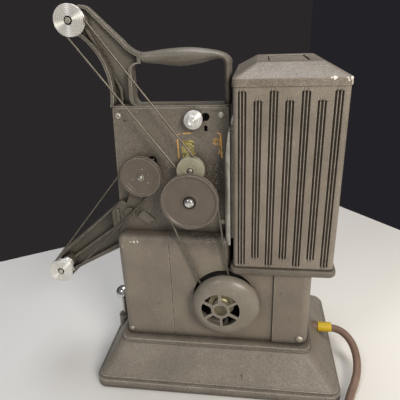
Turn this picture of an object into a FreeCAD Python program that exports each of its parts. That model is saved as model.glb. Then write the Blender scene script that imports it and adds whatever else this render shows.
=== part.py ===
import FreeCAD, Part
import math
import os
from FreeCAD import Vector

# Table-top cine film projector, seen from its belt side.
# Millimetres. X runs from the lens end to the lamp end, Y from the belt side to the film side, Z up.
# Pieces are drawn about the middle of the base and moved by frame_shift when they are written,
# so that the frame's origin is the middle of the box that the object fills, on the table.

# General clearances
running_gap = 0.05
soft_gap = 0.3
part_gap = 0.5
overrun = 5.0
dish_steps = 5

# Screws
small_screw_r = 1.5
small_head_r = 2.8
small_head_h = 1.4
screw_depth = 9.0

# Base casting
base_flare = 30.5
base_width = 164.0
base_corner = 12.0
base_wall = 4.0
rim_lift = 1.0
rim_height = 9.0
rim_step = 2.5
rim_step_height = 3.0
slope_step = 1.2
base_height = 42.0
ledge_end = 4.5
ledge_step = 2.5
ledge_height = 3.5
ledge_side = 10.0
ledge_corner = 9.0
base_boss_r = 5.0
base_boss_inset = 18.0
plate_thick = 2.0
plate_recess = 2.0
pad_r = 9.0
pad_inset = 30.0
wire_hole = 40.0

# Front tilt screw
tilt_boss_r = 8.0
tilt_boss_top = 31.0
tilt_screw_r = 2.6
tilt_inset = 10.8
tilt_neck = 26.0
tilt_knob_r = 8.8
tilt_knob_h = 12.0
tilt_skirt = 3.4
tilt_pad_r = 5.5
tilt_pad_h = 3.0

# Pedestal housing
pedestal_length = 187.0
pedestal_middle = -3.2
pedestal_width = 88.0
pedestal_corner = 7.0
pedestal_wall = 3.5
shoulder_top = 158.0
shoulder_r = 6.6
step_top = 126.4
opening_r = 31.0
opening_x = 8.0
opening_z = 93.3
seam_place = 56.5
panel_proud = 2.0
panel_screw_r = 3.6
panel_screw_inset = 6.6
front_seam_x = -45.3
front_seam_width = 0.8
front_seam_depth = 0.5

# Motor
motor_x = 5.7
motor_z = 89.0
motor_r = 31.5
motor_length = 58.0
motor_bell = 8.0
motor_bell_r = 21.0
motor_boss_r = 8.0
motor_shaft_r = 3.0
motor_wire_r = 11.0
motor_pulley_r = 12.6
motor_hub_r = 8.6
motor_hub_h = 2.2
cradle_width = 7.0
cradle_place = 16.0
fan_r = 30.0
fan_hub_r = 9.0
fan_blades = 10
fan_width = 5.0
fan_blade = 1.2

# Motor cover: a dished ring, its spoked window off centre over the motor's shaft
cover_x = 10.2
cover_z = 89.5
cover_rim_r = 33.0
cover_rim_h = 2.0
cover_depth = 11.5
cover_wall = 1.8
cover_bow = 75.0
cover_steps = 6
window_r = 18.8
window_slip = 4.5
ring_outer_r = 8.9
ring_inner_r = 6.7
spoke_width = 2.3
spoke_count = 6
spoke_turn = 27.6
cover_leg_r = 2.2
# Legs of the cover as (turn, distance from its middle)
cover_legs = ((10, 24.0), (90, 24.0), (165, 28.4))

# Belts
belt_r = 0.85
belt_groove = 1.3
belt_lip = 2.1

# Drive pulleys and their shafts
shaft_r = 3.0
bushing_wall = 1.5
pulley_width = 7.0
main_x = -21.4
main_z = 198.5
main_r = 26.0
main_wire_r = 24.4
main_dish = 0.8
main_lip = 1.6
main_washer_r = 6.0
washer_h = 0.8
main_hub_r = 6.6
nut_r = 4.6
nut_h = 3.6
feed_x = -20.8
feed_z = 225.4
feed_r = 12.4
feed_wire_r = 9.6
feed_hub_r = 5.4
takeup_inset = 29.5
takeup_z = 218.4
takeup_r = 18.6
takeup_wire_r = 17.0
takeup_dish = 1.2
takeup_lip = 2.4
takeup_nut_r = 3.0
takeup_washer_r = 4.4
rivet_r = 1.1
rivet_ring = 8.2
rivet_turns = (22, 80, 195, 322)
knob_x = -18.1
knob_z = 268.7
knob_r = 8.1
knob_h = 7.0
knob_step_r = 4.4
knob_step_h = 4.0
knob_edge = 0.6

# Belt planes, measured from the side plate's outer face
low_belt_stand = 12.0
motor_belt_stand = 21.5

# Mechanism case and its side plate
case_top_inset = 5.2
case_foot_inset = 0.7
case_rear = 13.0
case_depth = 18.0
case_wall = 3.0
case_top = 278.5
side_plate_thick = 3.0
plate_face = -27.0
plate_screw_r = 2.9
plate_screw_inset = 6.6
plate_screw_rise = 11.0
oil_cup_x = -58.4
oil_cup_z = 230.4
oil_cup_r = 4.2
oil_cup_h = 2.4
key_x = -7.7
key_z = 270.4
key_r = 3.7
key_tail = 7.0
slot_drop = 10.3
slot_width = 3.2
slot_height = 5.0

# Handle and upper arm, one casting with the flange on the case
flange_height = 2.0
flange_lip = 1.0
flange_rear = 13.5
flange_corner = 4.0
arm_lean = 21.5
arm_rise = 71.3
arm_foot_step = 2.0
arm_foot_width = 27.0
arm_near_foot = -26.0
arm_near_tip = -15.5
arm_web_face = -12.0
arm_back = -8.5
arm_rim = 2.8
upper_tip_r = 12.3
arm_boss_r = 6.6
arm_boss_near = -32.0
arm_boss_far = 0.0
arm_boss_far_r = 8.0
arm_rib_width = 2.2
arm_rib_stand = 2.4
# Points of the arm's outline as shares: (of the lean from the front foot, of the rise)
belly_shares = (0.135, 0.428)
back_low_shares = (-0.674, 0.751)
back_bend_shares = (-0.93, 0.675)
rib_foot_share = -0.37
rib_bend_share = 0.181
grip_rise = 39.5
grip_reach = 29.5
grip_half_height = 7.7
grip_half_depth = 11.5
grip_middle = -12.0
leg_middle_x = 11.7
leg_bend_r = 8.0
opening_corner = 6.0
# Stations along the grip as shares: along it, of its half height, of its half depth, of lift
grip_shares = (
    (0.00, 0.57, 0.72, 0.02),
    (0.16, 0.73, 0.86, 0.02),
    (0.30, 0.90, 0.96, 0.00),
    (0.45, 1.00, 1.00, -0.02),
    (0.61, 0.90, 0.98, 0.04),
    (0.75, 0.66, 0.92, 0.10),
)
grip_run_share = 0.86
leg_height_share = 0.42
leg_depth_share = 0.82

# Reel spindles: the free end fits the round hole of a small film reel
spindle_r = 3.97
spindle_shaft_r = 3.5
spindle_free = 14.0
spindle_flange_r = 8.0
spindle_flange_h = 2.0
spindle_key = 1.6
spindle_key_length = 4.0
disc_width = 4.6
disc_r = 12.5
disc_wire_r = 10.4
disc_ring = 0.7
disc_ring_deep = 0.25
disc_ring_shares = (0.36, 0.50, 0.62, 0.74, 0.86)
disc_screw_r = 2.4
disc_screw_h = 1.4
lower_disc_r = 12.4
lower_disc_wire_r = 10.6

# Lower arm
lower_reach = 64.7
lower_disc_z = 113.5
lower_tip_r = 12.0
lower_near = -20.0
lower_web_face = -14.0
lower_back = -6.0
lower_boss_near = -24.0
lower_root_top = 184.0
lower_root_foot = 135.0
lower_root_gap = 0.8
lower_shoulder = 4.0
lower_shoulder_height = 23.5
lower_rib_width = 2.2
hub_r = 10.0
hub_thick = 5.5
hub_sleeve_r = 6.0
knuckle_inset = 13.7
knuckle_z = 180.0
knuckle_r = 5.0
knuckle_h = 3.0
strap_width = 12.0
root_peak_inset = 5.2
root_peak_rise = 7.0
root_step_inset = 7.9
root_step_top = 190.0
root_step_foot = 172.9
ridge_inset = 1.2
ridge_width = 2.4
ridge_stand = 1.5
# Corners of the arm's stop tab on the side plate, from the knuckle
stop_tab_places = ((10.8, -0.3), (22.4, -9.8), (15.9, -15.5), (4.3, -8.1))
stop_tab_thick = 1.5

# Film path on the hidden side
film_plane = 8.0
optic_z = 215.0
sprocket_x = -42.0
upper_sprocket_z = 257.0
lower_sprocket_z = 177.0
sprocket_r = 8.5
sprocket_waist_r = 6.8
sprocket_rim = 3.0
sprocket_width = 15.0
sprocket_teeth = 12
sprocket_tooth = 1.1
keeper_gap = 1.2
keeper_width = 7.0
keeper_height = 17.0
keeper_pin_r = 2.0
keeper_stand = 4.5
gate_x = -16.0
gate_height = 52.0
gate_width = 18.0
gate_thick = 2.0
aperture_w = 4.8
aperture_h = 3.6
lens_r = 11.0
lens_length = 48.0
lens_wall = 2.2
lens_ring_r = 12.6
lens_ring_h = 9.0
lens_back = -26.0
lens_rest = 2.0
holder_length = 18.0
holder_wall = 3.6
glass_thick = 3.0
shutter_r = 18.0
shutter_y = -2.0
shutter_x = -7.0
shutter_thick = 1.0
shutter_hub_r = 3.6
shutter_hub_h = 4.0
shutter_shaft_r = 2.5
shutter_boss_r = 6.5
shutter_boss_h = 8.0

# Lamp house
tray_height = 6.4
tray_proud = 3.0
lamp_front = 17.7
lamp_rear = 109.0
lamp_near = -50.2
lamp_far = 79.0
lamp_corner = 4.0
lamp_wall = 3.3
lamp_height = 166.0
groove_count = 7
groove_pitch = 12.5
groove_first = 7.3
groove_width = 7.2
groove_depth = 2.5
groove_corner = 1.8
groove_rib = 1.1
groove_rib_proud = 0.4
groove_rib_place = 1.35
groove_long = 159.8
groove_short = 144.8
groove_foot = 2.8
cap_rim = 6.0
cap_hip = 10.5
cap_inset_x = 18.2
cap_inset_y = 20.0
cap_skirt = 1.0
cap_top_corner = 3.0
vent_inset_x = 10.0
vent_inset_y = 12.5
vent_corner = 2.2
vent_slats = 4
slat_thick = 1.2
slat_height = 4.0
baffle_gap = 1.3
baffle_sink = 1.0
bulb_x = 62.0
bulb_r = 15.0
bulb_height = 88.0
socket_height = 30.0
socket_r = 13.0
socket_seat = 3.5
mirror_gap = 8.0
mirror_r = 17.0
mirror_deep = 4.0
mirror_thick = 1.2
mirror_post = 4.0
shroud_front = 9.5
shroud_near = -42.0
shroud_far = 30.0
shroud_top = 260.6
shroud_edge = 4.6
shroud_taper = 28.0
shroud_taper_width = 3.6
shroud_gap = 3.2
light_hole_r = 17.0
condenser_r = 15.0
condenser_edge = 3.0
condenser_bulge = 2.5

# Controls on the film side of the pedestal
speed_inset = 34.7
speed_z = 112.0
speed_knob_r = 11.0
speed_knob_h = 12.0
rheostat_r = 19.0
rheostat_h = 12.0
switch_inset = 66.7
switch_z = 138.0
switch_bush_r = 6.0
switch_neck_r = 4.5
switch_bush_h = 5.0
switch_ring = 2.0
switch_body = 15.0
lever_r = 2.2
lever_length = 15.0
lever_lean = 25.0
lever_pin_r = 1.0
lever_pin_half = 2.45
air_hole_r = 3.0
air_hole_pitch = 10.0
air_rows = 3
air_columns = 5

# Mains cord
cord_r = 4.0
cord_exit_z = 28.0
cord_exit_y = 0.0
relief_r = 5.6
relief_wall = 8.0
relief_inside = 20.0
relief_tail_r = 4.6
relief_out = 1.6
tag_length = 14.5
tag_thick = 0.8
tag_slack = 0.55
cord_route = (
    (124.0, 0.0, 28.0),
    (136.0, -4.8, 26.6),
    (143.9, -15.6, 22.2),
    (146.7, -30.0, 16.0),
    (145.0, -44.5, 10.2),
    (139.5, -58.5, 6.2),
    (132.8, -72.0, 4.6),
    (128.0, -86.5, 4.2),
    (125.0, -102.0, 4.2),
    (124.4, -118.0, 4.2),
    (123.4, -134.0, 4.2),
    (123.6, -146.0, 4.2),
    (123.8, -161.0, 4.2),
)
coil_x = 66.3
coil_y = -180.0
coil_turns_each = 2.5
coil_climb = 0.5
coil_pitch = 8.6
coil_outer_r = 57.1
cord_lift = 0.2
plug_tail = 24.0
plug_r = 12.4
plug_length = 30.0
plug_neck_r = 6.0
pin_width = 6.3
pin_thick = 1.5
pin_length = 16.0
pin_gap = 12.7

# Places worked out from the sizes
base_x1 = pedestal_length / 2 + base_flare
base_x0 = -base_x1
base_y1 = base_width / 2
rim_top = rim_lift + rim_height
slope_foot = rim_top + rim_step_height
pedestal_x0 = pedestal_middle - pedestal_length / 2
pedestal_x1 = pedestal_middle + pedestal_length / 2
case_front_top = pedestal_x0 + case_top_inset
case_front_foot = pedestal_x0 + case_foot_inset
takeup_x = pedestal_x0 + takeup_inset
knuckle_x = pedestal_x0 + knuckle_inset
lower_root_x = pedestal_x0 - lower_root_gap
lower_disc_x = lower_root_x - lower_reach
speed_x = pedestal_x0 + speed_inset
switch_x = pedestal_x0 + switch_inset
pedestal_y1 = pedestal_width / 2
step_place = lamp_front - tray_proud - part_gap
case_near = plate_face + side_plate_thick
case_back = case_near + case_depth
film_near = film_plane - sprocket_width / 2
film_far = film_plane + sprocket_width / 2
case_foot = shoulder_top - shoulder_r
flange_top = case_top + flange_height
low_belt_y = plate_face - low_belt_stand
motor_belt_y = plate_face - motor_belt_stand
arm_foot_x = case_front_top - arm_foot_step
grip_front = arm_foot_x + grip_reach
upper_disc_x = arm_foot_x - arm_lean
upper_disc_z = flange_top + arm_rise
grip_z = flange_top + grip_rise
tray_top = step_top + tray_height
lamp_top = tray_top + lamp_height
tilt_x = base_x0 + tilt_inset
total_left = lower_disc_x - lower_disc_r
frame_shift = -(total_left + base_x1) / 2
X_AXIS = Vector(1, 0, 0)
Y_AXIS = Vector(0, 1, 0)
Z_AXIS = Vector(0, 0, 1)
DIAGONAL = math.sqrt(0.5)


def polygon(points):
    """Closed polygon through the points."""
    return Part.makePolygon(list(points) + [points[0]])


def line(a, b):
    return Part.LineSegment(a, b).toShape()


def arc(a, b, c):
    return Part.Arc(a, b, c).toShape()


def rounded_wire(x0, x1, y0, y1, z, r):
    """Level rectangle with round corners."""
    corners = ((x1 - r, y0 + r, 1, -1), (x1 - r, y1 - r, 1, 1),
               (x0 + r, y1 - r, -1, 1), (x0 + r, y0 + r, -1, -1))
    arcs = []
    for cx, cy, sx, sy in corners:
        first = Vector(cx, cy + sy * r, z)
        last = Vector(cx + sx * r, cy, z)
        if sx * sy > 0:
            first, last = last, first
        middle = Vector(cx + sx * r * DIAGONAL, cy + sy * r * DIAGONAL, z)
        arcs.append((first, middle, last))
    edges = []
    for i in range(len(arcs)):
        edges.append(arc(*arcs[i]))
        edges.append(line(arcs[i][2], arcs[(i + 1) % len(arcs)][0]))
    return Part.Wire(edges)


def slab(x0, x1, y0, y1, z0, z1, r=0.0):
    """Upright block, with round upright corners where r is given."""
    if r > 0:
        return Part.Face(rounded_wire(x0, x1, y0, y1, z0, r)).extrude(Vector(0, 0, z1 - z0))
    return Part.makeBox(x1 - x0, y1 - y0, z1 - z0, Vector(x0, y0, z0))


def taper(lower, upper):
    """Solid between two level outlines."""
    return Part.makeLoft([lower, upper], True, True)


def rod_x(y, z, x0, x1, r):
    return Part.makeCylinder(r, x1 - x0, Vector(x0, y, z), X_AXIS)


def rod_y(x, z, y0, y1, r):
    return Part.makeCylinder(r, y1 - y0, Vector(x, y0, z), Y_AXIS)


def rod_z(x, y, z0, z1, r):
    return Part.makeCylinder(r, z1 - z0, Vector(x, y, z0), Z_AXIS)


def tube_y(x, z, y0, y1, outer_r, inner_r):
    return turned_y(x, z, [(inner_r, y0), (outer_r, y0), (outer_r, y1), (inner_r, y1)])


def turned_y(x, z, profile):
    """Turned piece about a Y axis; the profile is a list of (radius, y)."""
    face = Part.Face(polygon([Vector(x + r, y, z) for r, y in profile]))
    return face.revolve(Vector(x, 0, z), Y_AXIS, 360)


def turned_z(x, y, profile):
    """Turned piece about a Z axis; the profile is a list of (radius, z)."""
    face = Part.Face(polygon([Vector(x + r, y, z) for r, z in profile]))
    return face.revolve(Vector(x, y, 0), Z_AXIS, 360)


def turned_x(y, z, profile):
    """Turned piece about an X axis; the profile is a list of (radius, x)."""
    face = Part.Face(polygon([Vector(x, y, z + r) for r, x in profile]))
    return face.revolve(Vector(0, y, z), X_AXIS, 360)


def dish_x(y, z, r, near, far):
    """Round dish about an X axis between two bowed faces, each as (x at the rim, x in the middle)."""
    shares = [i / dish_steps for i in range(dish_steps + 1)]
    profile = [(r * share, near[1] + (near[0] - near[1]) * share ** 2) for share in shares]
    profile += [(r * share, far[1] + (far[0] - far[1]) * share ** 2) for share in reversed(shares)]
    return turned_x(y, z, profile)


def prism_y(points, y0, y1):
    """Extrusion along Y of a polygon in the XZ plane."""
    face = Part.Face(polygon([Vector(x, y0, z) for x, z in points]))
    return face.extrude(Vector(0, y1 - y0, 0))


def strip_y(points, width, y0, y1):
    """Bar of even width along a line of points in the XZ plane, with round ends and joints."""
    bars = []
    for (xa, za), (xb, zb) in zip(points, points[1:]):
        length = math.hypot(xb - xa, zb - za)
        bar = Part.makeBox(length, y1 - y0, width, Vector(0, y0, -width / 2))
        bar.rotate(Vector(0, 0, 0), Y_AXIS, -math.degrees(math.atan2(zb - za, xb - xa)))
        bar.translate(Vector(xa, 0, za))
        bars.append(bar)
    for x, z in points:
        bars.append(rod_y(x, z, y0, y1, width / 2))
    return fuse(bars)


def fuse(shapes):
    whole = shapes[0].multiFuse(list(shapes[1:])) if len(shapes) > 1 else shapes[0]
    return whole.removeSplitter()


def cut(shape, tools):
    for tool in tools:
        shape = shape.cut(tool)
    return shape


def group(shapes):
    """Separate solids of one kind in one file."""
    return Part.makeCompound(shapes)


def round_screw(x, z, face, head_r, head_h, depth):
    """Round-head screw driven along +Y, with a slot across its head."""
    head = turned_y(x, z, [
        (0, face - head_h), (head_r * 0.55, face - head_h), (head_r * 0.9, face - head_h * 0.6),
        (head_r, face - head_h * 0.2), (head_r, face), (small_screw_r, face),
        (small_screw_r, face + depth), (0, face + depth)])
    slot_w = head_r * 0.28
    slot = Part.makeBox(2 * head_r, head_h, slot_w,
                        Vector(x - head_r, face - head_h * 1.6, z - slot_w / 2))
    return head.cut(slot)


def grooved(x, z, y_middle, width, rim_r, wire_r, bore, dish=0.0, lip=0.0):
    """Pulley with a belt groove; a dish of the given depth in its near face, inside a lip."""
    y0 = y_middle - width / 2
    y1 = y_middle + width / 2
    floor_r = wire_r - belt_r - soft_gap
    profile = [(bore, y1), (rim_r, y1), (rim_r, y_middle + belt_lip), (floor_r, y_middle + belt_groove),
               (floor_r, y_middle - belt_groove), (rim_r, y_middle - belt_lip), (rim_r, y0)]
    if dish > 0:
        profile += [(rim_r - lip, y0), (rim_r - lip - dish, y0 + dish), (bore, y0 + dish)]
    else:
        profile += [(bore, y0)]
    return turned_y(x, z, profile)


def open_belt(c0, r0, c1, r1, y):
    """Spring-wire belt round two pulleys, as one closed tube."""
    a = Vector(c0[0], y, c0[1])
    b = Vector(c1[0], y, c1[1])
    along = b.sub(a)
    gap = along.Length
    along.normalize()
    side = Vector(-along.z, 0, along.x)
    lean = math.asin((r0 - r1) / gap)
    up = side * math.cos(lean) + along * math.sin(lean)
    down = side * -math.cos(lean) + along * math.sin(lean)
    a_up, a_down = a + up * r0, a + down * r0
    b_up, b_down = b + up * r1, b + down * r1
    path = Part.Wire([line(a_up, b_up), arc(b_up, b + along * r1, b_down),
                      line(b_down, a_down), arc(a_down, a - along * r0, a_up)])
    section = Part.Wire([Part.Circle(a_up, b_up.sub(a_up), belt_r).toShape()])
    return path.makePipeShell([section], True, False)


def base_screw_places():
    x = base_x1 - base_boss_inset
    y = base_y1 - base_boss_inset
    return [(sx * x, sy * y) for sx in (-1, 1) for sy in (-1, 1)]


def base_outside():
    """The base's outer form: rim, step, slope and ledge."""
    x0, x1 = pedestal_x0 - ledge_end, pedestal_x1 + ledge_end
    y1 = pedestal_y1 + ledge_side
    ledge_foot = base_height - ledge_height
    rim = slab(base_x0, base_x1, -base_y1, base_y1, rim_lift, rim_top, base_corner)
    s = rim_step
    step = slab(base_x0 + s, base_x1 - s, s - base_y1, base_y1 - s, rim_top, slope_foot, base_corner - s)
    s += slope_step
    t = ledge_step
    slope = taper(
        rounded_wire(base_x0 + s, base_x1 - s, s - base_y1, base_y1 - s, slope_foot, base_corner - s),
        rounded_wire(x0 - t, x1 + t, -y1 - t, y1 + t, ledge_foot, ledge_corner + t))
    ledge = slab(x0, x1, -y1, y1, ledge_foot, base_height, ledge_corner)
    return fuse([rim, step, slope, ledge])


def base_hollow():
    """The room inside the base, open below."""
    w = base_wall
    x0, x1 = pedestal_x0 - ledge_end, pedestal_x1 + ledge_end
    y1 = pedestal_y1 + ledge_side
    s = w + rim_step + slope_step
    room_z = rim_top - w
    rim = slab(base_x0 + w, base_x1 - w, w - base_y1, base_y1 - w, rim_lift - overrun, room_z,
               base_corner - w)
    slope = taper(
        rounded_wire(base_x0 + s, base_x1 - s, s - base_y1, base_y1 - s, room_z, base_corner - w),
        rounded_wire(x0 + w, x1 - w, w - y1, y1 - w, base_height - w, ledge_corner - w))
    return fuse([rim, slope])


def base_casting():
    """Cast base with sloped sides; its rim, ledge, tilt boss and cord hole."""
    outside = base_outside()
    boss = rod_z(tilt_x, 0, rim_lift, tilt_boss_top, tilt_boss_r)
    hollow = base_hollow().cut(rod_z(tilt_x, 0, rim_lift - overrun, tilt_boss_top, tilt_boss_r))
    shell = fuse([outside, boss]).cut(hollow)
    plate_z = rim_lift + plate_recess + plate_thick
    posts = []
    holes = []
    for x, y in base_screw_places():
        posts.append(rod_z(x, y, plate_z, base_height, base_boss_r).common(outside))
        holes.append(rod_z(x, y, plate_z - overrun, plate_z + screw_depth, small_screw_r))
    shell = fuse([shell] + posts)
    bore = rod_z(tilt_x, 0, 0, base_height, tilt_screw_r + running_gap)
    seat = rod_z(tilt_x, 0, 0, rim_lift + tilt_pad_h + part_gap, tilt_pad_r + part_gap)
    wires = slab(-wire_hole, wire_hole, -wire_hole / 2, wire_hole / 2, rim_top, base_height + overrun)
    exit_hole = rod_x(cord_exit_y, cord_exit_z, pedestal_x1 - base_wall, base_x1, relief_r)
    return {"base_casting": cut(shell, [bore, seat, wires, exit_hole] + holes)}


def base_bottom():
    """Bottom plate and its four pads."""
    z0 = rim_lift + plate_recess
    inset = base_wall + part_gap
    plate = slab(base_x0 + inset, base_x1 - inset, inset - base_y1, base_y1 - inset,
                 z0, z0 + plate_thick, base_corner - inset)
    plate = plate.cut(rod_z(tilt_x, 0, 0, base_height, tilt_boss_r + part_gap))
    for x, y in base_screw_places():
        plate = plate.cut(rod_z(x, y, 0, base_height, small_screw_r))
    x = base_x1 - pad_inset
    y = base_y1 - pad_inset
    pads = [rod_z(sx * x, sy * y, 0, z0, pad_r) for sx in (-1, 1) for sy in (-1, 1)]
    return {"base_bottom_plate": plate, "base_pads": group(pads)}


def tilt_screw():
    """Front levelling screw with its dome knob, free to travel in the base's boss."""
    r = tilt_knob_r
    h = tilt_knob_h
    foot = tilt_boss_top + tilt_neck
    pad_top = rim_lift + tilt_pad_h
    body = fuse([rod_z(tilt_x, 0, rim_lift, pad_top, tilt_pad_r),
                 rod_z(tilt_x, 0, pad_top, foot, tilt_screw_r)])
    steps = 5
    dome = []
    for i in range(steps):
        turn = math.radians(90.0 * i / steps)
        dome.append((r * math.cos(turn), foot + tilt_skirt + (h - tilt_skirt) * math.sin(turn)))
    knob = turned_z(tilt_x, 0, [(0, foot), (r * 0.5, foot), (r * 0.85, foot + tilt_skirt / 3)] + dome
                    + [(0, foot + h)])
    return {"tilt_screw": body, "tilt_knob": knob}


def pedestal_block():
    """Outer form of the pedestal: a tall part under the case and a low part under the lamp house."""
    x0, x1, y1 = pedestal_x0, pedestal_x1, pedestal_y1
    tall = slab(x0, step_place, -y1, y1, base_height, shoulder_top, pedestal_corner)
    top = [e for e in tall.Edges if e.BoundBox.ZMin > shoulder_top - part_gap]
    tall = tall.makeFillet(shoulder_r, top)
    low = slab(opening_x, x1, -y1, y1, base_height, step_top, pedestal_corner)
    joint = slab(opening_x - opening_r, step_place + opening_r, -y1, y1, base_height, step_top)
    return fuse([tall, low, joint])


def pedestal():
    """Pedestal housing and its rear cover panel."""
    x0, x1, y1 = pedestal_x0, pedestal_x1, pedestal_y1
    w = pedestal_wall
    z0 = base_height - overrun
    inner_tall = slab(x0 + w, step_place - w, w - y1, y1 - w, z0, shoulder_top - shoulder_r,
                      pedestal_corner - w)
    inner_low = slab(0, x1 - w, w - y1, y1 - w, z0, step_top - w, pedestal_corner - w)
    hole = rod_y(opening_x, opening_z, -y1 - overrun, w - y1 + overrun, opening_r)
    seam = slab(front_seam_x, front_seam_x + front_seam_width, -y1 - overrun, front_seam_depth - y1,
                base_height, case_foot)
    body = cut(pedestal_block(), [fuse([inner_tall, inner_low]), hole, seam])
    inside = y1 - w - overrun
    holes = [rod_y(speed_x, speed_z, inside, y1 + overrun, shaft_r + part_gap),
             rod_y(switch_x, switch_z, inside, y1 + overrun, switch_neck_r)]
    for row in range(air_rows):
        for column in range(air_columns):
            x = motor_x + (column - (air_columns - 1) / 2) * air_hole_pitch
            z = motor_z + (row - (air_rows - 1) / 2) * air_hole_pitch
            holes.append(rod_y(x, z, inside, y1 + overrun, air_hole_r))
    body = cut(body, holes)
    p = panel_proud
    panel = slab(x0, x1 + p, -y1 - p, y1 + p, base_height + part_gap, step_top - part_gap,
                 pedestal_corner + p)
    panel = panel.cut(slab(x0 - overrun, x1, -y1, y1, base_height, step_top, pedestal_corner))
    panel = panel.common(slab(seam_place, base_x1, -base_y1, base_y1, base_height, step_top))
    return {"pedestal_housing": body, "pedestal_rear_cover": panel}


def motor():
    """Motor on its cradle, rotor shaft, drive pulley and blower fan."""
    x, z = motor_x, motor_z
    half = motor_length / 2
    bore = motor_shaft_r + running_gap
    body = turned_y(x, z, [
        (bore, -half - motor_bell), (motor_boss_r, -half - motor_bell), (motor_bell_r, -half),
        (motor_r, -half), (motor_r, half), (motor_bell_r, half),
        (motor_boss_r, half + motor_bell / 2), (bore, half + motor_bell / 2)])
    blocks = [body]
    for side in (-1, 1):
        y = side * cradle_place - cradle_width / 2
        block = slab(x - motor_r, x + motor_r, y, y + cradle_width, base_height, z - motor_r / 2)
        blocks.append(block.cut(rod_y(x, z, y - overrun, y + cradle_width + overrun, motor_r - part_gap)))
    blocks.append(slab(x - motor_r, x + motor_r, -half, half, base_height, base_height + pedestal_wall))
    y_pulley = motor_belt_y
    fan_y = half + motor_bell / 2 + part_gap
    hub_y = y_pulley - belt_lip - running_gap
    nose_y = hub_y - motor_hub_h
    pulley = grooved(x, z, y_pulley, 2 * (belt_lip + running_gap), motor_pulley_r, motor_wire_r,
                     motor_shaft_r)
    hub = turned_y(x, z, [
        (motor_shaft_r, hub_y), (motor_hub_r, hub_y), (motor_hub_r, hub_y - motor_hub_h / 2),
        (motor_hub_r * 0.85, nose_y), (motor_shaft_r, nose_y)])
    shaft = rod_y(x, z, nose_y, fan_y + fan_width, motor_shaft_r)
    fan = [tube_y(x, z, fan_y, fan_y + fan_width, fan_hub_r, motor_shaft_r),
           tube_y(x, z, fan_y, fan_y + fan_blade, fan_r, fan_hub_r)]
    for i in range(fan_blades):
        blade = Part.makeBox(fan_r * 0.6, fan_width, fan_blade, Vector(x + fan_r * 0.38, fan_y, z))
        blade.rotate(Vector(x, 0, z), Y_AXIS, 360.0 * i / fan_blades)
        fan.append(blade)
    return {"motor_body": fuse(blocks), "motor_shaft": shaft, "motor_pulley": fuse([pulley, hub]),
            "blower_fan": fuse(fan)}


def circle_wire(x, y, z, r):
    return Part.Wire([Part.Circle(Vector(x, y, z), Y_AXIS, r).toShape()])


def dome(y_rim, rim_r, y_top, top_r):
    """Bowed solid from the cover's rim to its window, whose middle slips to one side."""
    circles = []
    end = math.radians(cover_bow)
    for i in range(cover_steps + 1):
        turn = end * i / cover_steps
        out_share = (math.cos(turn) - math.cos(end)) / (1 - math.cos(end))
        up_share = math.sin(turn) / math.sin(end)
        x = cover_x - window_slip * (1 - out_share)
        y = y_rim + (y_top - y_rim) * up_share
        circles.append(circle_wire(x, y, cover_z, top_r + (rim_r - top_r) * out_share))
    return Part.makeLoft(circles, True, True)


def motor_cover():
    """Dished cover ring over the motor opening; its window has a ring on six spokes."""
    w = cover_wall
    y_rim = motor_belt_y - belt_r - soft_gap
    y_step = y_rim - cover_rim_h
    y_front = y_rim - cover_depth
    wx = cover_x - window_slip
    outer = dome(y_step, cover_rim_r, y_front, window_r + w)
    inner = dome(y_step + running_gap, cover_rim_r - w, y_front + w, window_r)
    rim = tube_y(cover_x, cover_z, y_step, y_rim, cover_rim_r, cover_rim_r - w)
    window = rod_y(wx, cover_z, y_front - overrun, y_front + overrun, window_r)
    pieces = [fuse([outer.cut(inner), rim]).cut(window),
              tube_y(wx, cover_z, y_front, y_front + w, ring_outer_r, ring_inner_r)]
    for i in range(spoke_count):
        spoke = Part.makeBox(window_r - ring_outer_r + w, w, spoke_width,
                             Vector(wx + ring_outer_r - w / 2, y_front, cover_z - spoke_width / 2))
        spoke.rotate(Vector(wx, 0, cover_z), Y_AXIS, 360.0 * i / spoke_count + spoke_turn)
        pieces.append(spoke)
    for turn, place in cover_legs:
        reach = cover_rim_r - w / 2 - place
        x = cover_x + place
        lug = slab(x, x + reach, y_step, y_rim, cover_z - cover_leg_r, cover_z + cover_leg_r)
        leg = fuse([lug, rod_y(x, cover_z, y_step, -motor_length / 2, cover_leg_r)])
        leg.rotate(Vector(cover_x, 0, cover_z), Y_AXIS, turn)
        pieces.append(leg)
    return {"motor_cover": fuse(pieces)}


def case_points(w=0.0):
    """Side view of the case; it leans back towards its top."""
    lean = (case_front_top - case_front_foot) / (case_top - shoulder_top)
    x_foot = case_front_foot - lean * shoulder_r
    return [(x_foot + w, case_foot + w), (case_rear - w, case_foot + w),
            (case_rear - w, case_top - w), (case_front_top + w, case_top - w)]


def bearing_places():
    return ((main_x, main_z), (feed_x, feed_z), (takeup_x, takeup_z))


def plate_screw_places():
    return [(case_front_top + plate_screw_inset * 0.7, case_top - plate_screw_inset),
            (case_rear - plate_screw_inset, case_top - plate_screw_inset),
            (case_rear - plate_screw_inset, shoulder_top + plate_screw_rise)]


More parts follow.
